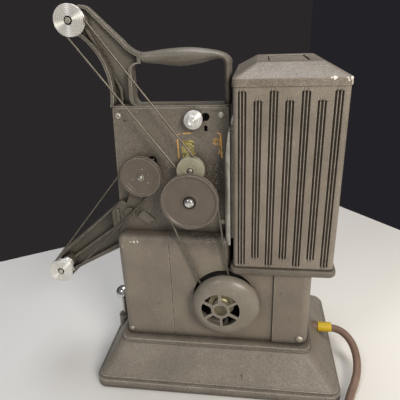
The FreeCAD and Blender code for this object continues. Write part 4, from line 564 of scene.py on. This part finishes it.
def base():
    """Stepped casting whose rim rolls in round the bottom plate, and the levelling screw's boss."""
    shell = boxed([level(4.0, 4.0, 5.6, 8.0), level(4.0, 4.0, 1.0, 8.0), level(0, 0, 1.0, 12.0),
                   level(0, 0, 10.0, 12.0), level(2.5, 2.5, 10.3, 9.5), level(2.5, 2.5, 13.0, 9.5),
                   level(3.9, 3.9, 13.2, 9.0), ledge(2.5, 38.3, 11.5), ledge(0.2, 38.7, 9.0),
                   ledge(0, BASE_TOP, 9.0), ledge(-6.0, BASE_TOP, 6.0)], 0.5, around=12)
    boss = turn_to_z(turned(0, 0, [(2.7, 6.0), (8.6, 6.0), (8.0, 24.0), (8.0, 31.0), (4.6, 31.4), (2.7, 31.4)],
                            48, 1.0), TILT_X, 0)
    return piece("base_form", joined([shell, boss]), base_enamel, "chassis", ("base_casting",), 25)


base()


# Lamp house: folded sheet with pressed channels, a cap with a sunk vent, and the tray under it

# The house's x0, x1, y0 and y1; each side's channels, with a thin rib standing up in each half of a channel
HOUSE = (17.7, 109.0, -50.2, 79.0)
HOUSE_CORNER, HOUSE_WALL = 3.6, 3.3
TRAY_TOP, HOUSE_TOP = 132.8, 298.8
BEAM_Y, BEAM_TOP = (-9.0, 25.0), 232.0
CHANNELS, CHANNEL_STEP, CHANNEL_FIRST = 7, 12.5, 25.0
CHANNEL_HALF, CHANNEL_DEEP, CHANNEL_CORNER, CHANNEL_EDGE = 3.6, 2.5, 1.8, 0.8
RIB_PLACE, RIB_HALF, RIB_PROUD, RIB_EDGE, RIB_SHORT = 1.35, 0.7, 0.4, 0.4, 0.5
FOOT_IN, FOOT_HIGH = 0.8, 1.1


def soft_step(share):
    """Smooth rise from 0 to 1, held at the ends."""
    share = max(0.0, min(1.0, share))
    return share * share * (3 - 2 * share)


def channel_ends(i):
    """Foot and head of a channel; every second one is shorter."""
    drop = 7.5 * (i % 2)
    return TRAY_TOP + 2.8 + drop, TRAY_TOP + 162.6 - drop


def pressed(x, z):
    """How far a ribbed side stands out of its own face at x, z: channels are behind it."""
    for i in range(CHANNELS):
        off = x - CHANNEL_FIRST - i * CHANNEL_STEP
        if abs(off) > CHANNEL_HALF:
            continue
        foot, head = channel_ends(i)
        past_end = abs(z - (foot + head) / 2) - (head - foot) / 2
        dx, dz = abs(off) - CHANNEL_HALF + CHANNEL_CORNER, past_end + CHANNEL_CORNER
        inside = CHANNEL_CORNER - math.hypot(max(dx, 0), max(dz, 0)) - min(max(dx, dz), 0)
        apart = math.hypot(abs(off) - RIB_PLACE, max(past_end + RIB_SHORT, 0))
        rib = soft_step((RIB_HALF - apart) / RIB_EDGE + 0.1)
        return -CHANNEL_DEEP * soft_step(inside / CHANNEL_EDGE) + (CHANNEL_DEEP + RIB_PROUD) * rib
    return 0.0


def channel_samples():
    """Places across a ribbed side: close together at the channels' and ribs' edges."""
    steps = (0.0, 0.4, 0.7, 0.9, 1.1, 1.35, 1.6, 1.8, 2.0, 2.4, 2.65, 2.85, 3.1, 3.35, 3.6)
    lowest, highest = HOUSE[0] + HOUSE_CORNER, HOUSE[1] - HOUSE_CORNER
    places = {lowest, highest}
    for i in range(CHANNELS):
        middle = CHANNEL_FIRST + i * CHANNEL_STEP
        places |= {middle - s for s in steps} | {middle + s for s in steps}
    return sorted(p for p in places if lowest <= p <= highest)


def house_levels():
    """Heights of the lamp house's rings: close together at the ends of the channels."""
    places = {TRAY_TOP + 1.3, HOUSE_TOP, BEAM_TOP, TRAY_TOP + 60.0, TRAY_TOP + 100.0, TRAY_TOP + 130.0}
    for i in range(2):
        foot, head = channel_ends(i)
        for out in (-0.1, 0.25, 0.6, 1.0, 1.5, 2.0, 2.4, 2.8, 3.2, 3.6):
            places |= {foot + out, head - out}
    return sorted(places)


def house_round(inset):
    """Points round the lamp house, as (x, y, out): out is the way along Y that a ribbed side faces, or 0."""
    x0, x1, y0, y1 = HOUSE
    c = HOUSE_CORNER
    r = c - inset
    sides = channel_samples()
    ends = [y0 + c, *BEAM_Y, 50.0, y1 - c]

    def corner(cx, cy, start):
        return [(cx + r * math.cos(math.radians(start + 90 * k / 8)),
                 cy + r * math.sin(math.radians(start + 90 * k / 8)), 0) for k in range(1, 8)]

    points = [(x, y0 + inset, -1) for x in sides] + corner(x1 - c, y0 + c, 270)
    points += [(x1 - inset, y, 0) for y in ends] + corner(x1 - c, y1 - c, 0)
    points += [(x, y1 - inset, 1) for x in reversed(sides)] + corner(x0 + c, y1 - c, 90)
    points += [(x0 + inset, y, 0) for y in reversed(ends)] + corner(x0 + c, y0 + c, 180)
    return points


def lamp_house():
    """Ribbed shell, open at the foot, with the light beam's opening in the wall that faces the lens."""
    levels = house_levels()
    outer, inner = house_round(0), house_round(HOUSE_WALL)
    loops = [[(x, y, z) for x, y, out in house_round(FOOT_IN)] for z in (TRAY_TOP, TRAY_TOP + FOOT_HIGH)]
    loops += [[(x, y + out * (pressed(x, z) if out else 0), z) for x, y, out in outer] for z in levels]
    loops += [[(x, y, z) for x, y, out in inner] for z in reversed([TRAY_TOP] + levels)]
    mesh = skin(loops, True)
    cutter = bmesh.new()
    cutter.from_mesh(mesh)
    x_most = (HOUSE[0] + HOUSE_WALL + 0.5 + SHIFT) * MM
    middles = [(face, face.calc_center_median()) for face in cutter.faces]
    beam = [face for face, at in middles
            if at.x < x_most and BEAM_Y[0] * MM < at.y < BEAM_Y[1] * MM and at.z < BEAM_TOP * MM]
    bmesh.ops.delete(cutter, geom=beam, context="FACES")
    bmesh.ops.bridge_loops(cutter, edges=[edge for edge in cutter.edges if edge.is_boundary])
    cutter.to_mesh(mesh)
    cutter.free()
    return piece("lamp_house_shell", mesh, house_enamel, "lamp_house", ("lamp_house_body",), 50)


def lamp_cap():
    """Cap with a rolled band, hipped top and sunk vent; the vent's plate closes it from below."""
    x0, x1, y0, y1 = HOUSE
    rim, top = HOUSE_TOP + 6.0, HOUSE_TOP + 16.5
    flat = (x0 + 18.2, x1 - 18.2, y0 + 20.0, y1 - 20.0)
    vent = (flat[0] + 10.0, flat[1] - 10.0, flat[2] + 12.5, flat[3] - 12.5)
    band, w, gap = grown(HOUSE, 1), HOUSE_WALL, 1.3
    cap = boxed([(*band, HOUSE_TOP, 5.0), (*band, rim, 5.0), (*grown(HOUSE, -0.4), rim + 0.5, 4.0),
                 (*flat, top, 3.0), (*vent, top, 2.2), (*vent, top - w, 2.2), (*flat, top - w, 3.0),
                 (*grown(HOUSE, -w), HOUSE_TOP, 1.5)], 0.9, True)
    piece("lamp_cap", cap, cap_enamel, "lamp_house", ("lamp_house_cap",), 35)
    under, within = grown(vent, w), grown(vent, -gap)
    plate = boxed([(*under, top - w - 4.0, 2.2), (*under, top - w - 0.1, 2.2), (*within, top - w, 1.5),
                   (*within, top - 1.0, 1.5)], 0.4)
    return piece("vent_plate", plate, cap_enamel, "lamp_house", ("vent_baffle",), 35)


def lamp_tray():
    """Tray with rolled edges, which the lamp house stands on."""
    out = grown(HOUSE, 3.0)
    tray = boxed([(*grown(out, -1.0), 126.4, 6.0), (*out, 127.6, 7.0), (*out, 131.6, 7.0),
                  (*grown(out, -1.2), TRAY_TOP, 5.8), (*grown(out, -2.6), TRAY_TOP, 4.4)], 1.0)
    return piece("lamp_tray_form", tray, tray_enamel, "chassis", ("lamp_tray",), 40)


lamp_house()
lamp_cap()
lamp_tray()


# Lathe work: pulleys, discs, knobs and nuts, on axes at (x, z)

BELT_Y, MOTOR_BELT_Y = -39.0, -48.5
PLATE_Y = -27.0
MAIN, FEED, TAKEUP = (-21.4, 198.5), (-20.8, 225.4), (-67.2, 218.4)
UPPER, LOWER = (-115.0, 351.8), (-162.2, 113.5)
MOTOR, KNOB = (5.7, 89.0), (-18.1, 268.7)
BUSHING_Y, STEM_Y = -6.3, -21.0
DISC_HALF = 2.3
GROOVE_UNDER_WIRE = 1.15


def grooved(rim_r, wire_r, y, face, half=3.5):
    """Profile of a grooved pulley from its near face round the groove to its back."""
    floor_r = wire_r - GROOVE_UNDER_WIRE
    lip, floor = 0.6 * half, 0.37 * half
    return face + [(rim_r, y - half), (rim_r, y - lip), (floor_r, y - floor), (floor_r, y + floor),
                   (rim_r, y + lip), (rim_r, y + half)]


def pulleys():
    """Main and take-up pulleys are enamelled castings; the feed pulley has aged to a paler grey."""
    y = MOTOR_BELT_Y
    main = turned(*MAIN, grooved(26.0, 24.4, y, [
        (0.5, y - 2.7), (7.6, y - 2.7), (8.4, y - 2.3), (23.0, y - 2.3), (24.2, y - 3.4)])
        + [(10.0, y + 3.5), (6.6, y + 4.4), (6.6, PLATE_Y - 0.3), (0.5, PLATE_Y - 0.3)], 128)
    piece("main_pulley_form", main, pulley_enamel, "main_drive", ("main_pulley",))
    y = BELT_Y
    feed = turned(*FEED, grooved(12.4, 9.6, y, [
        (0.5, y - 3.5), (2.6, y - 3.5), (3.0, y - 3.1), (5.2, y - 3.1), (5.6, y - 3.5)])
        + [(8.0, y + 3.5), (5.4, y + 4.0), (5.4, PLATE_Y - 0.3), (0.5, PLATE_Y - 0.3)])
    piece("feed_pulley_form", feed, grey_enamel, "feed_drive", ("feed_pulley",))
    screw = turned(*FEED, [(0, y - 4.4), (1.5, y - 4.3), (2.0, y - 3.9), (2.1, y - 3.3), (0, y - 3.3)], 32, 0.15)
    piece("feed_screw", screw, screw_steel, "feed_drive", ())
    face = y - 2.3
    takeup = turned(*TAKEUP, grooved(18.6, 17.0, y, [
        (0.5, face), (12.6, face), (13.4, face - 0.5), (15.2, face - 0.5), (15.8, face - 1.1)])
        + [(0.5, y + 3.5)], 128)
    piece("takeup_pulley_form", takeup, pulley_enamel, "takeup_drive", ("takeup_pulley",))
    rivets = []
    for turn in (22, 80, 195, 322):
        a = math.radians(turn)
        rivets.append(turned(TAKEUP[0] + 8.2 * math.cos(a), TAKEUP[1] + 8.2 * math.sin(a), [
            (0, face - 0.8), (0.7, face - 0.75), (1.1, face - 0.3), (1.15, face + 0.4), (0, face + 0.4)], 16, 0.1))
    piece("takeup_rivets", joined(rivets), nickel, "takeup_drive", ())


def nuts():
    """Chrome dome nut on its dark washer, and the take-up pulley's round-headed screw, with their shafts."""
    x, z = MAIN
    y = MOTOR_BELT_Y - 2.7
    nut = turned(x, z, [(0, y - 3.6), (1.9, y - 3.5), (3.4, y - 2.9), (4.5, y - 1.7), (4.6, y - 0.4),
                        (3.0, y - 0.3), (3.0, BUSHING_Y), (0, BUSHING_Y)], 48)
    piece("main_nut", nut, chrome, "main_drive", ("main_shaft",))
    washer = turned(x, z, [(3.0, y - 0.8), (5.8, y - 0.8), (6.0, y - 0.5), (6.0, y + 0.1), (3.0, y + 0.1)],
                    48, 0.15)
    piece("main_washer", washer, dark_steel, "main_drive", ())
    x, z = TAKEUP
    y = BELT_Y - 2.3
    screw = turned(x, z, [(0, y - 2.9), (1.2, y - 2.8), (2.2, y - 2.3), (2.7, y - 1.5), (2.8, y - 0.8),
                          (3.6, y - 0.7), (3.6, y + 0.1), (2.6, y + 0.1), (2.6, BUSHING_Y), (0, BUSHING_Y)],
                   48, 0.15)
    piece("takeup_screw", screw, nickel, "takeup_drive", ("takeup_shaft",))


def reel_disc(name, place, radius, wire_r, boss_y, body):
    """Thin turned aluminium disc with cutter rings on its face and a groove at its rim."""
    y, back = BELT_Y - DISC_HALF, BELT_Y + DISC_HALF
    disc = turned(*place, grooved(radius, wire_r, BELT_Y, [(0.5, y), (radius - 0.4, y)], DISC_HALF)
                  + [(6.6, back), (6.6, boss_y - 0.3), (0.5, boss_y - 0.3)], 128, 0.15)
    spun = spun_aluminium(name + "_spun", place)
    return piece(name + "_form", disc, spun, body, (name,), 20)


def framing_knob():
    """Stepped knob of turned aluminium, with a groove round its rim."""
    y = PLATE_Y - 0.3
    knob = turned(*KNOB, [(0, y - 10.8), (1.2, y - 10.8), (1.6, y - 10.4), (2.4, y - 10.4), (2.8, y - 11.0),
                          (4.0, y - 11.0), (4.4, y - 10.6), (4.4, y - 7.4), (5.2, y - 7.0), (7.6, y - 7.0),
                          (8.1, y - 6.4), (8.1, y - 4.4), (7.6, y - 4.0), (7.6, y - 3.4), (8.1, y - 3.0),
                          (8.1, y - 0.6), (7.7, y), (3.0, y), (3.0, STEM_Y), (0, STEM_Y)], 96, 0.3)
    spun = spun_aluminium("knob_spun", KNOB, 1.3, "#e9e7e1")
    return piece("framing_knob_form", knob, spun, "framing", ("framing_knob",), 25)


def tilt_knob():
    """Chrome domed knob of the levelling screw."""
    dome = [(8.8 * math.cos(math.radians(a)), 60.4 + 8.6 * math.sin(math.radians(a))) for a in range(0, 90, 9)]
    knob = turn_to_z(turned(0, 0, [(0, 57.0), (4.4, 57.0), (7.4, 58.0), (8.6, 59.4)] + dome + [(0, 69.0)], 64, 0.4),
                     TILT_X, 0)
    return piece("tilt_knob_form", knob, chrome, "levelling_screw", ("tilt_knob",), 40)


pulleys()
nuts()
reel_disc("upper_disc", UPPER, 12.5, 10.4, -32.0, "upper_reel_drive")
reel_disc("lower_disc", LOWER, 12.4, 10.6, -24.0, "lower_reel_drive")
framing_knob()
tilt_knob()


# Spring belts: close-wound wire, whose coils are drawn as a thickness that swells and thins

WIRE_PITCH = 1.3
BELT_R = 0.98
COIL_SHAPE = (1.0, 0.97, 0.9, 0.97)


def wound_belt(name, c0, r0, c1, r1, y, body):
    """Close-wound spring wire round two pulleys; a coil is drawn at 1.3 mm, where the real one is 0.6 mm."""
    a, b = Vector(c0), Vector(c1)
    along = (b - a).normalized()
    side = Vector((-along.y, along.x))
    lean = math.asin((r0 - r1) / (b - a).length)
    up = side * math.cos(lean) + along * math.sin(lean)
    down = side * -math.cos(lean) + along * math.sin(lean)
    steps = len(COIL_SHAPE)
    places = []
    for start, end, centre, r, out, sweep in ((a + up * r0, b + up * r1, b, r1, up, math.pi / 2 - lean),
                                              (b + down * r1, a + down * r0, a, r0, down, math.pi / 2 + lean)):
        length = (end - start).length
        count = max(1, round(length / WIRE_PITCH * steps))
        way = (end - start) / length
        square = Vector((-way.y, way.x))
        places += [(start + way * length * i / count, square) for i in range(count)]
        begin, sweep = math.atan2(out.y, out.x), -2 * sweep
        count = max(1, round(abs(sweep) * r / WIRE_PITCH * steps))
        for i in range(count):
            turn = begin + sweep * i / count
            away = Vector((math.cos(turn), math.sin(turn)))
            places.append((centre + away * r, away))
    loops = []
    for i, (middle, out) in enumerate(places):
        r = BELT_R * COIL_SHAPE[i % steps]
        loop = []
        for k in range(8):
            t = 2 * math.pi * k / 8
            x, z = middle + out * r * math.cos(t)
            loop.append((x, y + r * math.sin(t), z))
        loops.append(loop)
    return piece(name + "_wound", skin(loops, True), spring_wire, body, (name,), 0)


wound_belt("upper_belt", FEED, 9.6, UPPER, 10.4, BELT_Y, "chassis")
wound_belt("lower_belt", TAKEUP, 17.0, LOWER, 10.6, BELT_Y, "folding_arm")
wound_belt("motor_belt", MAIN, 24.4, MOTOR, 11.0, MOTOR_BELT_Y, "chassis")


# Small trim on the side plate: worn gilt lines and flecks

def bar(start, end, width):
    """Bar from start to end, as (x, z), that is sunk in the plate and stands 0.12 mm proud of it."""
    a, b = Vector(start), Vector(end)
    out = Vector((-(b - a).y, (b - a).x)).normalized() * width / 2
    return skin([[(p.x, y, p.y) for p in (a + out, b + out, b - out, a - out)]
                 for y in (PLATE_Y + 0.2, PLATE_Y - 0.12)])


def gilt():
    """Plain worn gilt lines, and flecks strewn over three small areas."""
    lines = [bar((-33.7, 250.6), (-33.3, 232.7), 1.0), bar((-28.4, 255.7), (-21.1, 256.1), 0.8),
             bar((-33.5, 254.3), (-31.6, 255.6), 0.6), bar((5.3, 255.2), (6.4, 233.0), 1.1),
             bar((2.2, 256.0), (5.2, 255.4), 0.8)]
    chance = random.Random(4)
    flecks = []
    for middle, spread, count, kind in (((-24.2, 241.5), (5.4, 7.4), 240, flecks),
                                        ((1.8, 248.0), (2.8, 3.4), 40, lines),
                                        ((4.8, 238.5), (1.5, 3.2), 14, lines)):
        for _ in range(count):
            x = middle[0] + spread[0] * chance.uniform(-1, 1)
            z = middle[1] + spread[1] * chance.uniform(-1, 1)
            turn, reach = chance.uniform(0, math.pi), chance.uniform(0.4, 1.3)
            kind.append(bar((x, z), (x + reach * math.cos(turn), z + reach * math.sin(turn)),
                            chance.uniform(0.5, 1.1)))
    piece("gilt_lines", joined(lines), gilt_paint, "chassis", (), 30)
    return piece("gilt_flecks", joined(flecks), faded_gilt, "chassis", (), 30)


gilt()


# Lamp's filament, lens barrel and speed knob

OPTIC_Y, OPTIC_Z, LAMP_X = 8.0, 215.0, 62.0
SPEED_X, SPEED_Z = -62.0, 112.0


def wire(line, radius, sides=8):
    """Round wire along places (y, z) across the light beam, from the optical axis."""
    turns = [2 * math.pi * k / sides for k in range(sides)]
    loops = []
    for before, (y, z), after in zip(line[:1] + line, line, line[1:] + line[-1:]):
        way = (Vector(after) - Vector(before)).normalized()
        loops.append([(LAMP_X + radius * math.sin(a), OPTIC_Y + y - way.y * radius * math.cos(a),
                       OPTIC_Z + z + way.x * radius * math.cos(a)) for a in turns])
    return skin(loops)


def filament():
    """Flat zigzag of wire on two posts, which faces the condenser, and the lamp's glass stem."""
    rows = [(-4.8 + 1.6 * (i // 2), 4.5 if i % 4 in (1, 2) else -4.5) for i in range(14)]
    posts = [wire([(y, -48.0), (y, -20.0), (y, -4.5)], 0.45) for y in (-4.8, 4.8)]
    stem = turn_to_z(turned(0, 0, [(0, 162.9), (6.0, 163.0), (3.4, 172.0), (2.8, 182.0), (0, 183.0)], 32, 1.0),
                     LAMP_X, OPTIC_Y)
    piece("lamp_stem", stem, lamp_glass, "chassis", (), 40)
    return piece("lamp_filament", joined([wire(eased(rows, 0.7), 0.3)] + posts), nickel, "chassis", (),
                 40)


def lens_barrel():
    """Chrome barrel with a ridged ring at its front and a focus line."""
    ridged = [(r, -73.2 + 0.9 * i + shift) for i in range(8) for r, shift in ((12.6, 0), (12.6, 0.4), (12.15, 0.6))]
    barrel = turned(0, 0, [(8.8, -73.4), (9.6, -74.0), (12.2, -74.0)] + ridged + [
        (12.6, -65.6), (12.2, -65.0), (11.0, -65.0), (11.0, -52.0), (10.6, -51.8), (10.6, -51.2), (11.0, -51.0),
        (11.0, -26.0), (8.8, -26.0)], 96, 0.1, True)
    return piece("lens_barrel_form", turn_to_x(barrel, OPTIC_Y, OPTIC_Z), chrome, "lens", ("lens_barrel",),
                 20)


def speed_knob():
    """Moulded black knob with a fluted skirt and a pale pointer line."""
    turns = [2 * math.pi * k / 128 for k in range(128)]
    loops = []
    for r, y, flute in ((2.9, 40.7, 0), (2.9, 44.3, 0), (10.9, 44.3, 0), (10.9, 45.6, 0), (10.8, 46.0, 0.9),
                        (9.95, 54.2, 0.9), (9.5, 55.2, 0), (8.8, 55.9, 0), (7.8, 55.9, 0), (7.4, 55.5, 0),
                        (0.5, 55.5, 0)):
        reach = [(a, r - flute * (0.5 - 0.5 * math.cos(16 * a))) for a in turns]
        loops.append([(SPEED_X + out * math.cos(a), y, SPEED_Z + out * math.sin(a)) for a, out in reach])
    mark = skin([[(SPEED_X + u, y, SPEED_Z + w) for u, w in ((-0.5, 2.5), (0.5, 2.5), (0.5, 7.0), (-0.5, 7.0))]
                 for y in (55.3, 55.7)])
    piece("speed_mark", mark, pale_enamel, "speed_control", crease=30)
    return piece("speed_knob_form", skin(loops), black_plastic, "speed_control", ("speed_knob",),
                 30)


filament()
lens_barrel()
speed_knob()


# Studio

# Two pixels of the line where the dark walls meet
WALL_CORNER_SEEN = ((313, 0), (299, 215))
LEFT_WALL, RIGHT_WALL = "#2b2829", "#232227"
SHADE_SIDE, LIGHT_SIDE, ROOM_STRENGTH = "#a3a4a8", "#fff8ee", 0.37
TABLE = [(-1.9, -1.6, 0), (1.9, -1.6, 0), (1.9, -1.55, 0), (0.1667, 0.4765, 0), (-1.9, -0.848, 0)]
# Name, place, size, power and tint, and where they all point
LAMPS = (("key", (0.8, -1.05, 0.85), 0.5, 13.4, "#fff8ef"), ("fill", (-0.6, -0.9, 1.4), 0.35, 4.0, "#f6f8fb"),
         ("ceiling", (0.1, 0.35, 1.5), 0.7, 9.0, "#f4f6fa"))
LIT = (0.03, 0, 0.15)


def sight(pixel):
    """Direction from the camera through a pixel of the picture."""
    reach, middle = LENS / SENSOR * PICTURE, PICTURE / 2
    return look(*YAW_PITCH_ROLL) @ Vector(((pixel[0] - middle) / reach, (middle - pixel[1]) / reach, -1.0))


def room():
    """Soft grey room; the camera, metal and glass see the two dark walls behind the object."""
    world = bpy.data.worlds.new("room")
    bpy.context.scene.world = world
    world.use_nodes = True
    tree = world.node_tree
    tree.nodes.clear()
    rays = add(tree, "LightPath").node.outputs
    way = add(tree, "TexCoord", out="Generated")
    towards = add(tree, "SeparateXYZ", {"Vector": way}).node.outputs
    across = sight(WALL_CORNER_SEEN[0]).cross(sight(WALL_CORNER_SEEN[1])).normalized()
    side = add(tree, "VectorMath", {0: way, 1: across}, "Value", operation="DOT_PRODUCT")
    right = add(tree, "Math", {0: side, 1: 0.0}, operation="LESS_THAN")
    walls = add(tree, "Background", {"Color": layered(tree, LEFT_WALL, (right, RIGHT_WALL))})
    lit = layered(tree, SHADE_SIDE, (add(tree, "MapRange", {0: towards["X"], 1: -0.9, 2: 0.7}), LIGHT_SIDE))
    soft = add(tree, "Background", {"Color": lit, "Strength": ROOM_STRENGTH})
    direct = rays["Is Camera Ray"]
    for kind in ("Is Transmission Ray", "Is Glossy Ray"):
        direct = add(tree, "Math", {0: direct, 1: rays[kind]}, operation="MAXIMUM")
    ahead = add(tree, "MapRange", {0: towards["Y"], 1: 0.05, 2: 0.3})
    low = add(tree, "MapRange", {0: towards["Z"], 1: 0.5, 2: 0.3})
    behind = add(tree, "Math", {0: ahead, 1: low}, operation="MULTIPLY")
    seen = add(tree, "Math", {0: direct, 1: behind}, operation="MULTIPLY")
    both = add(tree, "MixShader", {0: seen, 1: soft, 2: walls})
    tree.links.new(both, tree.nodes.new("ShaderNodeOutputWorld").inputs["Surface"])


def studio():
    """Pale paper table whose far corner is behind the object, painted lighter to the right and darker to the front
    and back, and soft lamps.
    """
    table = mesh_from(TABLE, [tuple(range(len(TABLE)))])
    material, tree, shader = blank("table_paper", Roughness=0.85)
    place = add(tree, "SeparateXYZ", {"Vector": add(tree, "TexCoord", out="Object")}).node.outputs
    # Painted light and shade: the paper is lighter towards the right, where the key lamp stands, and darker towards
    # the front and the back.
    painted_light_and_shade = [(add(tree, "MapRange", {0: place[axis], 1: low, 2: high}), tint) for axis, low, high, tint in (
        ("X", -0.3, 0.5, "#fffaf0"), ("Y", -0.25, -0.8, "#aeaca8"), ("Y", 0.05, 0.5, "#cdcac7"))]
    tree.links.new(layered(tree, "#d8d9da", *painted_light_and_shade), shader.inputs["Base Color"])
    floor = bpy.data.objects.new("table", table)
    table.materials.append(material)
    bpy.context.scene.collection.objects.link(floor)
    for name, stand, size, power, tint in LAMPS:
        lamp = bpy.data.lights.new(name, "AREA")
        lamp.color = colour(tint)[:3]
        lamp.size = size
        lamp.energy = power
        holder = bpy.data.objects.new(name, lamp)
        holder.location = stand
        holder.rotation_euler = (Vector(LIT) - Vector(stand)).to_track_quat("-Z", "Y").to_euler()
        bpy.context.scene.collection.objects.link(holder)
    bpy.context.scene.view_settings.view_transform = "Standard"


room()
studio()
